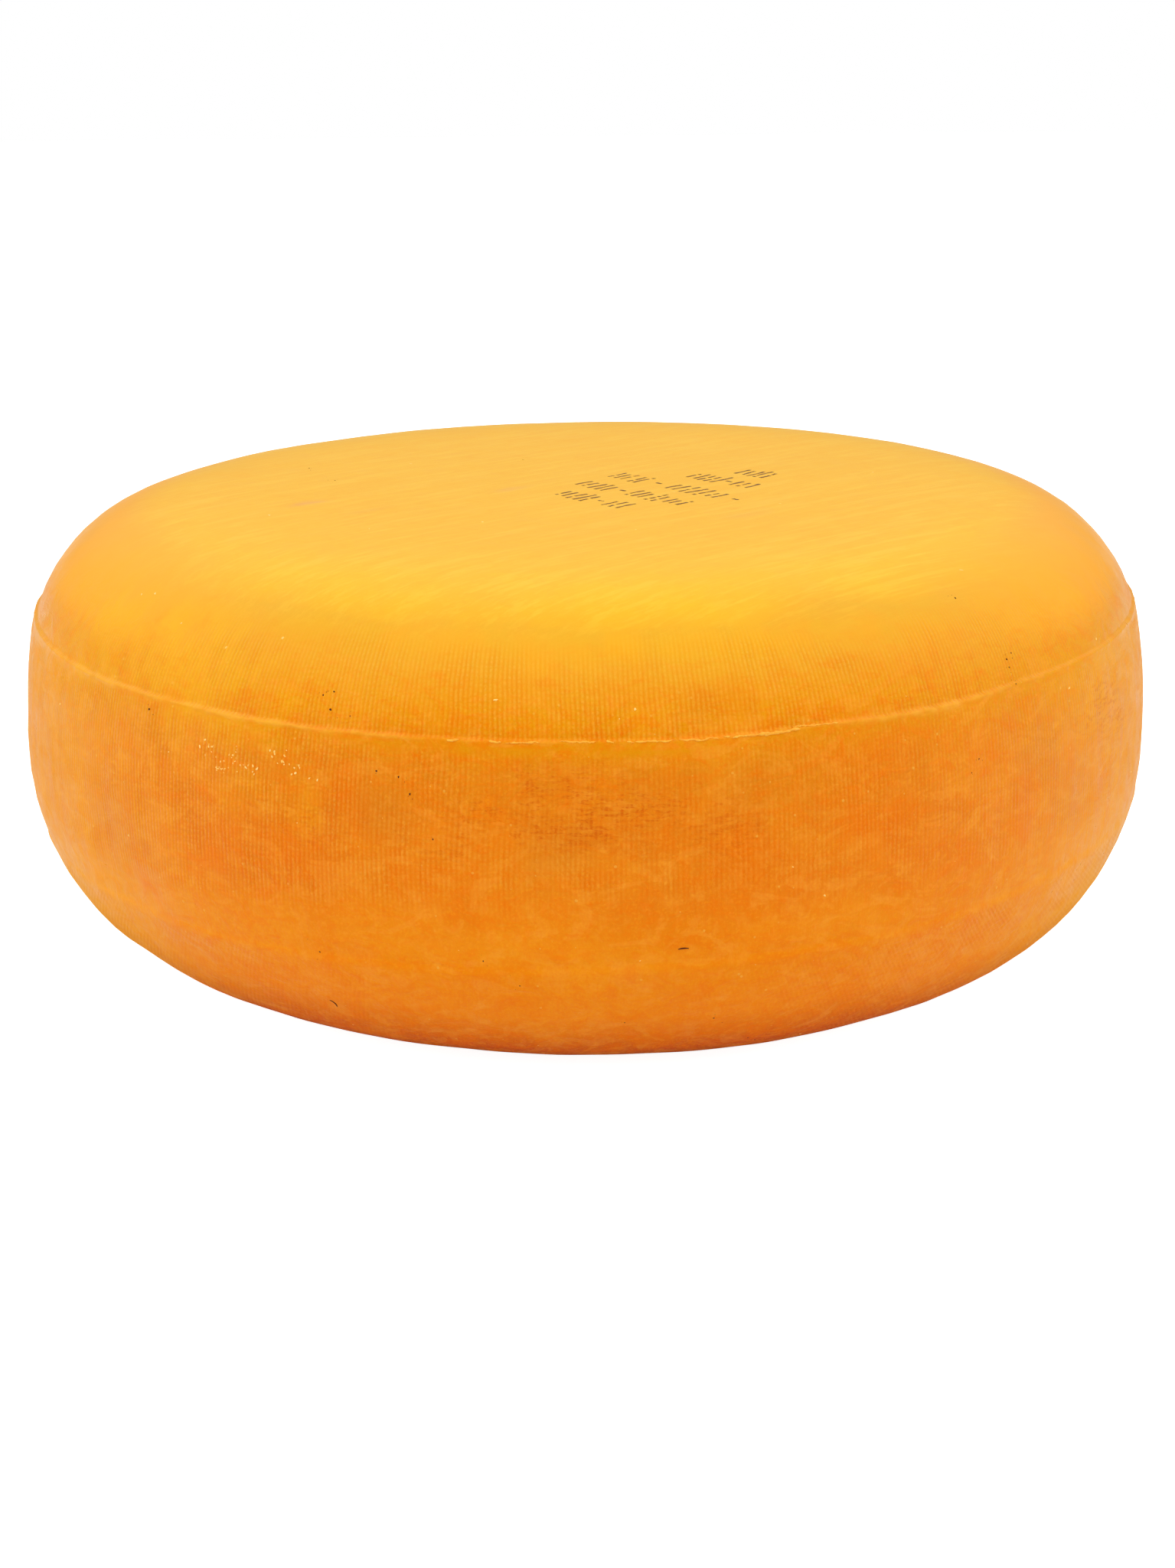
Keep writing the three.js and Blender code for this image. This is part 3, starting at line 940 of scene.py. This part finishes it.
    # cracks in the scuffed patches, broken up by the ribs, and dots of wax
    flattened = addNode(tree, "ShaderNodeMapping", {"Vector": place, "Scale": (1, 1, 3)}).outputs[0]
    cracks = groupNode(tree, coatCracks, {
        "Vector": flattened,
        "Size": coatLook["crackSize"],
        "Thickness": coatLook["crackThickness"],
    })
    crackLines = mathNode(tree, "MULTIPLY", cracks["Lines"], attributeNode(tree, "scuffed"))
    crackLines = mathNode(tree, "MULTIPLY", crackLines, rangeNode(tree, ribWave, -0.7, 0.9, 1.0, 0.55))
    colour = lapTint(tree, colour, crackLines, coatLook["crackShare"], "crackTint")
    dots = groupNode(tree, waxDots, {
        "Vector": place,
        "Spacing": coatLook["dotSpacing"],
        "Share": coatLook["dotShare"],
    })
    dotMask = mathNode(tree, "MULTIPLY", dots["Mask"], lowDown)
    colour = lapTint(tree, colour, dotMask, coatLook["dotTintShare"], "dotAndCrestHighlightTint")
    fill(tree, shader.inputs["Base Color"], colour)

    # gloss: even on top, patchy and streaked down the wall, dull where the liner's cloth lay
    plainRough = rangeNode(tree, level, 0.3, 0.1, coatLook["roughness"], coatLook["clothRoughness"])
    patchy = rangeNode(tree, noises["swirls"], 0.3, 0.7, -0.06, 0.08)
    rough = mathNode(tree, "ADD", plainRough, mathNode(tree, "MULTIPLY", patchy, lowDown))
    streaky = mathNode(tree, "MULTIPLY", mathNode(tree, "MULTIPLY_ADD", sides, 0.1, 0.05), onWall)
    rough = mathNode(tree, "ADD", rough, mathNode(tree, "MULTIPLY", streaks["wall"]["Tint"], streaky))
    fill(tree, shader.inputs["Roughness"], rough)

    # what the geometry leaves out: each effect and its height
    grain = groupNode(tree, coatGrain, {"Vector": place, "Size": coatLook["grainSize"]})
    relief = mathNode(tree, "MULTIPLY", threadGroove, coatLook["threadHeight"])
    for effect, height in (
        (mathNode(tree, "MULTIPLY", grain["Height"], lowDown), "grainHeight"),
        (mathNode(tree, "MULTIPLY", noises["fineGrain"], lowDown), "fineGrainHeight"),
        (beaded, "beadHeight"),
        (mathNode(tree, "MULTIPLY", streaks["wall"]["Height"], onWall), "streakHeight"),
        (crackLines, "crackHeight"),
        (mathNode(tree, "MULTIPLY", noises["mottle"], rangeNode(tree, level, 0.92, 0.8)), "mottleHeight"),
        (mathNode(tree, "MULTIPLY", noises["swirls"], rangeNode(tree, level, 0.96, 0.82)), "swirlHeight"),
        (dotMask, "dotHeight"),
    ):
        relief = mathNode(tree, "MULTIPLY_ADD", effect, coatLook[height], relief)
    bump = addNode(tree, "ShaderNodeBump", {"Height": relief, "Distance": 1.0, "Strength": 1.0})
    fill(tree, shader.inputs["Normal"], bump.outputs["Normal"])
    shader.inputs["IOR"].default_value = coatLook["ior"]
    shader.inputs["Specular Tint"].default_value = coatTint("glossTint")
    return material


# Marks of every kind are small closed bodies, gathered in one mesh for each kind.
def newParts():
    return {"points": [], "faces": []}


def addBlob(parts, spot, normal, radius, height, random, sides=8, stretch=1.0):
    sideways = normal.orthogonal().normalized()
    ahead = normal.cross(sideways)
    if stretch > 1:
        turn = random.uniform(0, math.pi)
        turned = sideways * math.cos(turn) + ahead * math.sin(turn)
        ahead = ahead * math.cos(turn) - sideways * math.sin(turn)
        sideways = turned
    first = len(parts["points"])
    jitter = [random.uniform(0.65, 1.25) for _ in range(sides)]
    start = random.uniform(0, 2 * math.pi)
    for out, up in ((0.9, -0.5), (1.0, 0.15), (0.6, 0.8)):
        for i in range(sides):
            turn = start + 2 * math.pi * i / sides
            reach = radius * out * jitter[i]
            offset = sideways * (reach * stretch * math.cos(turn)) + ahead * (reach * math.sin(turn))
            parts["points"].append(spot + offset + normal * (height * up))
    parts["points"].append(spot - normal * (height * 0.5))
    parts["points"].append(spot + normal * height)
    bottom, top = first + 3 * sides, first + 3 * sides + 1
    for i in range(sides):
        j = (i + 1) % sides
        for ring in range(2):
            lower, upper = first + ring * sides, first + (ring + 1) * sides
            parts["faces"].append((lower + i, lower + j, upper + j, upper + i))
        parts["faces"].append((bottom, first + j, first + i))
        parts["faces"].append((top, first + 2 * sides + i, first + 2 * sides + j))


# A ribbon pressed onto the rind. Each station has a spot, the rind's normal there and the ribbon's width.
def addRibbon(parts, stations, lift, sunk):
    first = len(parts["points"])
    last = len(stations) - 1
    for i, (spot, normal, width) in enumerate(stations):
        along = stations[min(i + 1, last)][0] - stations[max(i - 1, 0)][0]
        side = normal.cross(along).normalized() * (width / 2)
        parts["points"] += [spot + side - normal * sunk, spot - side - normal * sunk]
        parts["points"] += [spot - side * 0.8 + normal * lift, spot + side * 0.8 + normal * lift]
    for i in range(last):
        here, there = first + 4 * i, first + 4 * (i + 1)
        for k in range(4):
            m = (k + 1) % 4
            parts["faces"].append((here + k, here + m, there + m, there + k))
    parts["faces"].append((first + 3, first + 2, first + 1, first))
    end = first + 4 * last
    parts["faces"].append((end, end + 1, end + 2, end + 3))


# What a mark is made of: two colours mixed by the coat's grain, and its bumps or gaps if they are given.
def markMaterial(name, look, coatGrain):
    material, tree, shader = newMaterial(name)
    place = addNode(tree, "ShaderNodeTexCoord").outputs["Object"]
    grain = groupNode(tree, coatGrain, {"Vector": place, "Size": look["grainSize"]})
    first, second = [fromScreen(*colour) for colour in look["colours"]]
    fill(tree, shader.inputs["Base Color"], mixNode(tree, grain["Tint"], first, second))
    if "cover" in look:
        fill(tree, shader.inputs["Alpha"], rangeNode(tree, grain["Tint"], 0.25, 0.85, *look["cover"]))
    if "bumpHeight" in look:
        bump = addNode(tree, "ShaderNodeBump", {"Height": grain["Height"], "Distance": look["bumpHeight"]})
        fill(tree, shader.inputs["Normal"], bump.outputs["Normal"])
    shader.inputs["Roughness"].default_value = look["roughness"]
    shader.inputs["IOR"].default_value = look["ior"]
    return material


def finishParts(parts, name, material, smooth=True):
    mesh = bpy.data.meshes.new(name)
    mesh.from_pydata([tuple(p) for p in parts["points"]], [], parts["faces"])
    mesh.update()
    mesh.polygons.foreach_set("use_smooth", np.full(len(mesh.polygons), smooth, bool))
    mesh.materials.append(material)
    piece = addObject(name, mesh)
    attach(piece, "root")
    print(name + ":", len(mesh.polygons), "faces")


# A mark sits on the wall by azimuth and height over the ground, or on the top by its place about the axis.
clearOfWheel = 0.3        # metres, where the rays that find its spot start


def onWallAt(rindTree, axis, azimuth, ground):
    outward = Vector((math.cos(math.radians(azimuth)), math.sin(math.radians(azimuth)), 0))
    start = Vector((axis[0], axis[1], ground)) + outward * clearOfWheel
    spot, normal, _, _ = rindTree.ray_cast(start, -outward)
    return spot, normal


def onTopAt(rindTree, axis, x, y):
    start = Vector((axis[0] + x, axis[1] + y, clearOfWheel))
    spot, normal, _, _ = rindTree.ray_cast(start, Vector((0, 0, -1)))
    return spot, normal


# A thin flash of wax where the press lid closed, coloured paler than the coat, in part as a painted highlight
# along its top.
seamFlash = {
    # from azimuth, to azimuth, millimetres over the seam, width in millimetres
    "strips": [
        (-101.9, -100.9, 0.15, 0.5),
        (-98.3, -97.3, 0.1, 0.45),
        (-96.9, -94.0, 0.0, 0.34),
        (-92.4, -89.4, 0.05, 0.36),
        (-88.5, -87.9, 0.0, 0.5),
        (-86.8, -86.2, 0.05, 0.45),
        (-86.1, -82.8, 0.0, 0.36),
        (-82.4, -79.1, 0.1, 0.4),
        (-78.7, -78.1, 0.2, 0.3),
        (-77.9, -74.6, -0.15, 0.6),
        (-75.2, -71.9, -0.2, 0.7),
        (-72.6, -70.4, 0.35, 0.35),
        (-70.9, -68.4, 0.1, 0.3),
        (24, 33, 0.1, 0.4),
        (36, 41, 0.0, 0.5),
        (128, 141, 0.1, 0.4),
        (146, 149, 0.0, 0.45),
    ],
    "step": 0.12,                  # degrees between stations
    "lift": 0.16 * mm,
    "sunk": 0.08 * mm,
    "wander": 0.22,                # millimetres up and down
    "swell": 0.7,                  # how much the width changes
    "colours": [coatLook["paleTint"], (248, 186, 58)],
    "grainSize": 0.8 * mm,
    "bumpHeight": 0.1 * mm,
    "roughness": 0.35,
    "ior": coatLook["ior"],
    "seed": 3,
}


def makeSeamFlash(rindTree, axis, coatGrain):
    random = np.random.default_rng(seamFlash["seed"])
    base = rind["seamHeight"] + rind["lowerHeight"] - rind["baseFlattening"]
    parts = newParts()
    for start, end, offset, width in seamFlash["strips"]:
        count = max(6, int((end - start) / seamFlash["step"]))
        wander = np.convolve(random.normal(size=count + 7), np.ones(5) / 5, "valid")
        swell = np.convolve(random.normal(size=count + 7), np.ones(3) / 3, "valid")
        stations = []
        for i in range(count + 1):
            azimuth = start + (end - start) * i / count
            taper = min(1, 4.5 * math.sin(math.pi * (i + 0.3) / (count + 0.6)))
            ground = base + float(seamRise(azimuth)) + (offset + seamFlash["wander"] * wander[i]) * mm
            spot, normal = onWallAt(rindTree, axis, azimuth, ground)
            swollen = max(0.3, 1 + seamFlash["swell"] * swell[i])
            stations.append((spot, normal, width * mm * taper * swollen))
        addRibbon(parts, stations, seamFlash["lift"], seamFlash["sunk"])
    finishParts(parts, "seam_flash", markMaterial("wax_flash_highlight", seamFlash, coatGrain))


# Rows of plain tally strokes in faded ink, with a dash in place of every fourth group.
tallyMarks = {
    # millimetres about the axis: start x, y, end x, y, how many groups
    "rows": [
        (-8, -15, 12, -38, 4),
        (-2, 1, 30, -35, 6),
        (9, 13, 48, -32, 7),
        (33.5, 11, 52, -8, 4),
        (49, 16.5, 59, 8, 2),
    ],
    "tallness": 9.5 * mm,
    "strokeWidth": 1.35 * mm,
    "spread": 2.9 * mm,            # between the strokes of one group
    "dash": 2.4 * mm,
    "step": 1.1 * mm,              # between the stations of a stroke
    "breaks": 0.12,                # how likely a stroke breaks at each of them
    "lift": 0.03 * mm,
    "sunk": 0.08 * mm,
    "colours": [(104, 60, 8), (140, 96, 44)],
    "cover": (0.95, 0.55),
    "grainSize": 0.7 * mm,
    "roughness": 0.5,
    "ior": coatLook["ior"],
    "seed": 31,
}


def makeTallyMarks(rindTree, axis, coatGrain):
    random = np.random.default_rng(tallyMarks["seed"])
    parts = newParts()
    for startX, startY, endX, endY, groups in tallyMarks["rows"]:
        start, end = np.array([startX, startY]) * mm, np.array([endX, endY]) * mm
        along = (end - start) / np.linalg.norm(end - start)
        upright = np.array([-along[1], along[0]])
        for group in range(groups):
            middle = start + (end - start) * ((group + 0.5) / groups)
            if group % 4 == 2:
                dash = tallyMarks["dash"]
                addBrokenStroke(parts, rindTree, axis, middle - along * dash / 2, along, dash, random)
                continue
            strokes = 2 + (group + groups) % 2
            tall = tallyMarks["tallness"] * (0.8, 1.0, 0.7)[group % 3]
            for stroke in range(strokes):
                aside = (stroke - (strokes - 1) / 2) * tallyMarks["spread"]
                middleOfStroke = middle + along * aside * random.uniform(0.85, 1.15)
                way = upright + along * random.uniform(-0.06, 0.06)
                foot = middleOfStroke - way * tall / 2
                addBrokenStroke(parts, rindTree, axis, foot, way, tall * random.uniform(0.85, 1.1), random)
    finishParts(parts, "tally_marks", markMaterial("faded_ink", tallyMarks, coatGrain))


# One stroke of ink in plan, broken here and there where the coat has taken no ink.
def addBrokenStroke(parts, rindTree, axis, start, way, tall, random):
    count = max(4, int(tall / tallyMarks["step"]))
    bend = random.uniform(-0.05, 0.05)
    side = np.array([-way[1], way[0]])
    stations = []
    for i in range(count + 1):
        share = i / count
        place = start + way * tall * share + side * tall * bend * math.sin(math.pi * share)
        spot, normal = onTopAt(rindTree, axis, place[0], place[1])
        stations.append((spot, normal, tallyMarks["strokeWidth"] * random.uniform(0.6, 1.15)))
        if len(stations) > 1 and (i == count or random.random() < tallyMarks["breaks"]):
            addRibbon(parts, stations, tallyMarks["lift"], tallyMarks["sunk"])
            stations = []


# Dark specks of old mould on the coat, and two short hairs.
darkSpecks = {
    # azimuth, millimetres over the ground
    "wall": [
        (-133, 97), (-114, 108), (-113, 105), (-113, 109), (-111, 104), (-108, 92), (-106, 91), (-105, 87),
        (-103, 76), (-50, 123), (-47, 109), (-48, 108), (-48, 106), (-48, 102), (-54, 86), (-55, 83),
        (-114, 41), (-99, 44), (-96, 37), (-87, 24), (-79, 24), (-75, 14), (-74, 12),
    ],
    # millimetres about the axis
    "top": [(-91, 29), (-80, 7), (-21, 40)],
    "radius": 0.25 * mm,
    "height": 0.1 * mm,
    "crumbs": 2,                   # finer ones round each
    "crumbHeight": 0.05 * mm,
    "behind": 22,                  # more of them on the far side, at random
    # each hair's first end, the point it bends towards and its other end, placed like those on the wall
    "hairs": [
        ((-114.5, 24.5), (-113.9, 23.9), (-114.0, 22.3)),
        ((-82.7, 47.3), (-82.3, 47.7), (-81.8, 47.4)),
    ],
    "hairWidth": 0.42 * mm,
    "hairLift": 0.12 * mm,
    "hairSunk": 0.05 * mm,
    "colours": [(76, 28, 6), (102, 54, 32)],
    "grainSize": 0.4 * mm,
    "bumpHeight": 0.1 * mm,
    "roughness": 0.7,
    "ior": 1.2,
    "seed": 5,
}


def makeDarkSpecks(rindTree, axis, coatGrain):
    random = np.random.default_rng(darkSpecks["seed"])
    places = [onWallAt(rindTree, axis, azimuth, height * mm) for azimuth, height in darkSpecks["wall"]]
    places += [onTopAt(rindTree, axis, x * mm, y * mm) for x, y in darkSpecks["top"]]
    for _ in range(darkSpecks["behind"]):
        places.append(onWallAt(rindTree, axis, random.uniform(5, 195), random.uniform(15, 122) * mm))
    parts = newParts()
    for spot, normal in places:
        radius = darkSpecks["radius"] * random.uniform(0.7, 1.4)
        addBlob(parts, spot, normal, radius, darkSpecks["height"], random)
        sideways = normal.orthogonal()
        for _ in range(darkSpecks["crumbs"]):
            aside = sideways.normalized() * random.normal() + normal.cross(sideways) * random.normal()
            start = spot + aside * 1.1 * mm + normal * 5 * mm
            crumb, crumbNormal, _, _ = rindTree.ray_cast(start, -normal)
            crumbRadius = radius * random.uniform(0.25, 0.5)
            addBlob(parts, crumb, crumbNormal, crumbRadius, darkSpecks["crumbHeight"], random, 5)
    for hair in darkSpecks["hairs"]:
        stations = []
        for i in range(9):
            share = i / 8
            start, bend, end = (1 - share) ** 2, 2 * share * (1 - share), share ** 2
            azimuth = start * hair[0][0] + bend * hair[1][0] + end * hair[2][0]
            ground = start * hair[0][1] + bend * hair[1][1] + end * hair[2][1]
            spot, normal = onWallAt(rindTree, axis, azimuth, ground * mm)
            stations.append((spot, normal, darkSpecks["hairWidth"] * math.sin(math.pi * (i + 1) / 10)))
        addRibbon(parts, stations, darkSpecks["hairLift"], darkSpecks["hairSunk"])
    finishParts(parts, "dark_specks", markMaterial("dark_mould", darkSpecks, coatGrain))


# Small pale blobs: a cluster on the front left painted pale as glints of light, and single loose flakes of
# wax.
waxFlakesAndGlints = {
    # azimuth, millimetres over the ground, how many, and how far they scatter: degrees, millimetres up
    "clumps": [
        (-125.0, 90.8, 11, 0.8, 1.8),
        (-123.6, 87.0, 11, 0.9, 1.1),
        (-122.4, 90.0, 12, 0.7, 2.0),
        (-120.4, 88.4, 10, 1.1, 1.2),
        (-118.2, 93.4, 5, 0.5, 1.2),
        (-116.8, 91.6, 7, 0.4, 1.8),
        (-115.6, 89.8, 6, 0.6, 1.2),
        (-114.4, 88.2, 2, 0.5, 0.6),
        (-129.5, 87.5, 2, 1.2, 0.8),
    ],
    "single": [
        (-142, 121), (-140, 122), (-133, 118), (-73, 67), (-70, 58), (-69, 11), (-120, 119), (-126, 115),
        (-45, 127), (-98, 110), (-86, 108), (-61, 105), (-40, 96), (-32, 104), (-149, 88), (-136, 60),
    ],
    # millimetres about the axis
    "top": [
        (-93.5, -45), (-62, -66), (-30, -58), (14, -71), (8, -2), (27, -18), (58, -36), (92, 12), (-58, 34),
    ],
    "around": 34,                  # sparse ones all round, at random
    "radius": 0.19 * mm,
    "height": 0.1 * mm,
    # times these for each kind
    "clumpSize": 1.0,
    "singleSize": 1.3,
    "topSize": 1.6,
    "aroundSize": 0.6,
    "colours": [coatLook["lipHighlightTint"], (255, 222, 136)],
    "grainSize": 0.5 * mm,
    "roughness": 0.3,
    "ior": coatLook["ior"],
    "seed": 12,
}


def makeWaxFlakesAndGlints(rindTree, axis, coatGrain):
    random = np.random.default_rng(waxFlakesAndGlints["seed"])
    onWall = []
    for azimuth, height, count, wide, tall in waxFlakesAndGlints["clumps"]:
        for _ in range(count):
            spread = random.normal(size=2) * 0.7
            onWall.append((azimuth + spread[0] * wide, height + spread[1] * tall, waxFlakesAndGlints["clumpSize"]))
    onWall += [(azimuth, height, waxFlakesAndGlints["singleSize"]) for azimuth, height in waxFlakesAndGlints["single"]]
    places = [(onWallAt(rindTree, axis, azimuth, height * mm), size) for azimuth, height, size in onWall]
    places += [(onTopAt(rindTree, axis, x * mm, y * mm), waxFlakesAndGlints["topSize"]) for x, y in waxFlakesAndGlints["top"]]
    for _ in range(waxFlakesAndGlints["around"]):
        spotAndNormal = onWallAt(rindTree, axis, random.uniform(-180, 180), random.uniform(14, 124) * mm)
        places.append((spotAndNormal, waxFlakesAndGlints["aroundSize"]))
    parts = newParts()
    for (spot, normal), size in places:
        radius = waxFlakesAndGlints["radius"] * size * random.uniform(0.6, 1.5)
        addBlob(parts, spot, normal, radius, waxFlakesAndGlints["height"] * size, random, 6, random.uniform(1.1, 2.2))
    finishParts(parts, "wax_flakes_and_glints", markMaterial("loose_wax_and_glints", waxFlakesAndGlints, coatGrain), smooth=False)


floorSheet = {
    "size": 14.0,
    "tone": (232, 232, 231),
    "glow": 0.9,                   # lifts the sheet to white for the camera, without lighting the wheel
}


def makeFloor():
    half = floorSheet["size"] / 2
    mesh = bpy.data.meshes.new("floor")
    outline = [(-half, -half, 0), (half, -half, 0), (half, half, 0), (-half, half, 0)]
    mesh.from_pydata(outline, [], [(0, 1, 2, 3)])
    piece = addObject("floor", mesh)
    material, tree, shader = newMaterial("matt_paper")
    place = addNode(tree, "ShaderNodeTexCoord").outputs["Object"]
    tone = fromScreen(*floorSheet["tone"])
    cloudy = mixNode(tree, noiseNode(tree, place, 0.6, 3), tone, tuple(0.985 * c for c in tone[:3]) + (1,))
    fill(tree, shader.inputs["Base Color"], cloudy)
    shader.inputs["Roughness"].default_value = 0.9
    shader.inputs["Specular IOR Level"].default_value = 0.1
    shader.inputs["Emission Color"].default_value = (1, 1, 1, 1)
    path = addNode(tree, "ShaderNodeLightPath")
    glow = mathNode(tree, "MULTIPLY", path.outputs["Is Camera Ray"], floorSheet["glow"])
    fill(tree, shader.inputs["Emission Strength"], glow)
    mesh.materials.append(material)


# Distances are from the wheel's own axis and from the ground.
studio = {
    "cameraInFront": 650.8 * mm,
    "cameraHeight": 258.4 * mm,
    "cameraPitch": 19.222,
    "cameraYaw": -0.038,
    "cameraRoll": -0.545,
    "lens": 47.742,
    "sensor": 36,
    "backdrop": 1.0,
    "levelLight": 0.28,            # the soft dome's strength at the horizon
    "highLight": 1.57,             # and straight up
    "frontLight": 1.1,             # times this from the camera's side
    "backLight": 0.75,             # and times this from behind
    # name, azimuth, distance, height, size, power
    "softBoxes": [
        ("left", -160, 1.5, 0.75, 1.2, 6),
        ("right", -25, 1.5, 0.75, 1.2, 5.2),
    ],
}


def makeStudio(axis):
    scene = bpy.context.scene
    scene.view_settings.view_transform = "Standard"
    for name, azimuth, distance, height, size, power in studio["softBoxes"]:
        lamp = bpy.data.lights.new(name, "AREA")
        lamp.size = size
        lamp.energy = power
        holder = addObject(name, lamp)
        turn = math.radians(azimuth)
        holder.location = (distance * math.cos(turn), distance * math.sin(turn), height)
        holder.rotation_euler = (-holder.location).to_track_quat("-Z", "Y").to_euler()
        holder.visible_camera = False

    world = bpy.data.worlds.new("studio")
    world.use_nodes = True
    scene.world = world
    tree = world.node_tree
    lit = tree.nodes["Background"]
    towards = addNode(tree, "ShaderNodeTexCoord").outputs["Generated"]
    facing = addNode(tree, "ShaderNodeSeparateXYZ", {"Vector": towards})
    dome = addNode(tree, "ShaderNodeMapRange", {
        "Value": facing.outputs["Z"],
        "To Min": studio["levelLight"],
        "To Max": studio["highLight"],
    })
    fromFront = addNode(tree, "ShaderNodeMapRange", {
        "Value": facing.outputs["Y"],
        "From Min": -1.0,
        "To Min": studio["frontLight"],
        "To Max": studio["backLight"],
    })
    lit.inputs["Color"].default_value = (1, 1, 1, 1)
    tree.links.new(mathNode(tree, "MULTIPLY", dome.outputs[0], fromFront.outputs[0]), lit.inputs["Strength"])
    seen = addNode(tree, "ShaderNodeBackground", {"Color": (1, 1, 1, 1), "Strength": studio["backdrop"]})
    path = addNode(tree, "ShaderNodeLightPath")
    both = addNode(tree, "ShaderNodeMixShader", {"Fac": path.outputs["Is Camera Ray"]})
    tree.links.new(lit.outputs[0], both.inputs[1])
    tree.links.new(seen.outputs[0], both.inputs[2])
    tree.links.new(both.outputs[0], tree.nodes["World Output"].inputs["Surface"])

    camera = bpy.data.cameras.new("camera")
    camera.lens = studio["lens"]
    camera.sensor_width = studio["sensor"]
    camera.clip_start = 0.05
    camera.clip_end = 60
    holder = addObject("camera", camera)
    pitch = math.radians(90 - studio["cameraPitch"])
    turned = Matrix.Rotation(math.radians(-studio["cameraYaw"]), 4, "Z") @ Matrix.Rotation(pitch, 4, "X")
    turned = turned @ Matrix.Rotation(math.radians(studio["cameraRoll"]), 4, "Z")
    eye = Vector((axis[0], axis[1] - studio["cameraInFront"], studio["cameraHeight"]))
    holder.matrix_world = Matrix.Translation(eye) @ turned
    scene.camera = holder


coatedWheel, wheelShift = makeRind()
wheelAxis = (float(wheelShift[0]), float(wheelShift[1]))
brushStreaks = makeBrushStreaks()
coatGrain = makeCoatGrain()
coatCracks = makeCoatCracks()
waxDots = makeWaxDots()
coatedWheel.data.materials.append(makeCoatMaterial(wheelAxis, brushStreaks, coatGrain, coatCracks, waxDots))
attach(coatedWheel, "root")
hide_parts("cheese_wheel")
print("coat: done")

corners = [tuple(v.co) for v in coatedWheel.data.vertices]
rindTree = BVHTree.FromPolygons(corners, [tuple(p.vertices) for p in coatedWheel.data.polygons])
makeSeamFlash(rindTree, wheelAxis, coatGrain)
makeTallyMarks(rindTree, wheelAxis, coatGrain)
makeDarkSpecks(rindTree, wheelAxis, coatGrain)
makeWaxFlakesAndGlints(rindTree, wheelAxis, coatGrain)
print("marks: done")

makeFloor()
makeStudio(wheelAxis)
print("studio: done")
